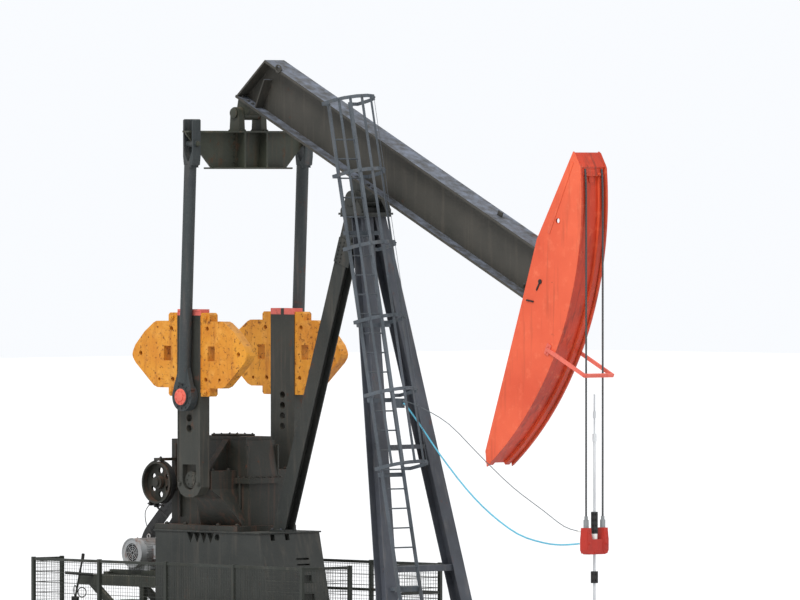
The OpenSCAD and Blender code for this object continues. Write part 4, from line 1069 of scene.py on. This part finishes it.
def spliceDetail():
    parts = []
    lean = math.atan(rearSet["slope"])
    rows = [rearSet["firstBolt"] + rearSet["pitch"] * i for i in range(rearSet["bolts"])]
    for side in (-1, 1):
        plate = onRear(rearSet["plate"], 0.035, side * 0.102)
        parts.append(smallBlock(plate, (0.31, 0.014, 0.37), turn=lean, soft=0.003))
        for z in rows:
            for offset in (-0.085, 0.0):
                parts.append(bolt(onRear(z, offset, side * 0.109), (0, side, 0), 0.015))
    for z in rows:
        for side in (-1, 1):
            parts.append(bolt(onRear(z, -0.127, side * 0.06), (-1, 0, 0), 0.014))
    return settle(parts, "splicePlates", "charcoalPaint", "frame")


cageSet = {"pitch": 1.0534, "first": 2.4, "straps": (-75, -45, -15, 15, 45, 75), "lean": 11.932,
           "foot": (4.3825, -0.66, 0.56), "hoops": 6, "centre": 0.25, "rivet": 0.338}


def onLadder(out, across, up):
    turn = math.radians(-cageSet["lean"])
    x, y, z = cageSet["foot"]
    return Vector((x + out * math.cos(turn) + up * math.sin(turn), y + across, z - out * math.sin(turn)
                   + up * math.cos(turn)))


def cageDetail():
    parts = []
    for i in range(cageSet["hoops"]):
        up = cageSet["first"] + i * cageSet["pitch"] + 0.025
        for angle in cageSet["straps"]:
            turn = math.radians(angle)
            out = Vector((math.cos(turn), math.sin(turn)))
            place = Vector((cageSet["centre"], 0.0)) + out * cageSet["rivet"]
            way = onLadder(out.x, out.y, 0) - onLadder(0, 0, 0)
            parts.append(bolt(onLadder(place.x, place.y, up), way, 0.011))
    return settle(parts, "cageRivets", "ladderPaint", "frame")


def boxDetail():
    parts = [smallBlock((3.75, -0.383, 3.8575), (0.18, 0.006, 0.115), soft=0.002)]
    for x in (3.68, 3.82):
        for z in (3.81, 3.905):
            parts.append(bolt((x, -0.38, z), (0, 1, 0), 0.007))
    for z, radius in ((3.835, 0.017), (3.89, 0.011)):
        parts.append(disc((3.862, -0.415, z), (1, 0, 0), radius, 0.03, 6))
    return settle(parts, "boxLid", "galvanized", "frame")


legDetail()
spliceDetail()
cageDetail()
boxDetail()
report("post and ladder detail")


# foundation: bolted clamps along the skid
footSet = {"places": (-2.9, -2.0, -1.2, -0.3, 0.5, 1.5, 2.4, 3.3, 4.1)}


def clampPlates():
    parts = []
    for side in (-1, 1):
        for x in footSet["places"]:
            parts.append(smallBlock((x, side * 0.695, 0.532), (0.1, 0.13, 0.018), soft=0.003))
            parts.append(bolt((x, side * 0.712, 0.541), (0, 0, 1), 0.024))
    return settle(parts, "skidClamps", "skidPaint", "frame")


clampPlates()
clearPick()
boltShape.select_set(True)
bpy.ops.object.delete()
report("foundation detail")


# studio: pale floor, soft lamps, white sky for the camera only
studioSet = {"floor": 400.0, "shadeTone": 0.84, "floorTone": 0.86, "sky": 0.62, "key": 2.4, "fill": 0.7}


def makeStudio():
    bpy.ops.mesh.primitive_plane_add(size=studioSet["floor"], location=(2.0, 0.0, 0.0))
    floor = bpy.context.object
    floor.name = "studioFloor"
    made = Finish("studioPaper")
    made.feed("Base Color", made.blend(made.noise(0.5), (studioSet["shadeTone"],) * 3,
                                      (studioSet["floorTone"],) * 3))
    made.feed("Roughness", 0.95)
    made.feed("Specular IOR Level", 0.1)
    floor.data.materials.append(made.material)
    world = bpy.data.worlds.new("studioSky")
    bpy.context.scene.world = world
    world.use_nodes = True
    tree = world.node_tree
    sky = tree.nodes["Background"]
    sky.inputs["Color"].default_value = (0.95, 0.97, 1.0, 1.0)
    path = tree.nodes.new("ShaderNodeLightPath")
    seen = Wire(tree, path.outputs["Is Camera Ray"])
    strength = studioSet["sky"] + (1.0 - studioSet["sky"]) * seen
    tree.links.new(strength.socket, sky.inputs["Strength"])
    for name, turn, lift, power, spread in (("keyLamp", 20.0, 52.0, studioSet["key"], 25.0),
                                            ("fillLamp", 110.0, 35.0, studioSet["fill"], 60.0)):
        bpy.ops.object.light_add(type="SUN")
        lamp = bpy.context.object
        lamp.name = name
        lamp.data.energy = power
        lamp.data.angle = math.radians(spread)
        lamp.rotation_euler = (math.radians(90.0 - lift), 0.0, math.radians(turn))


makeStudio()
bpy.context.scene.view_settings.view_transform = "Standard"
report("studio lit")
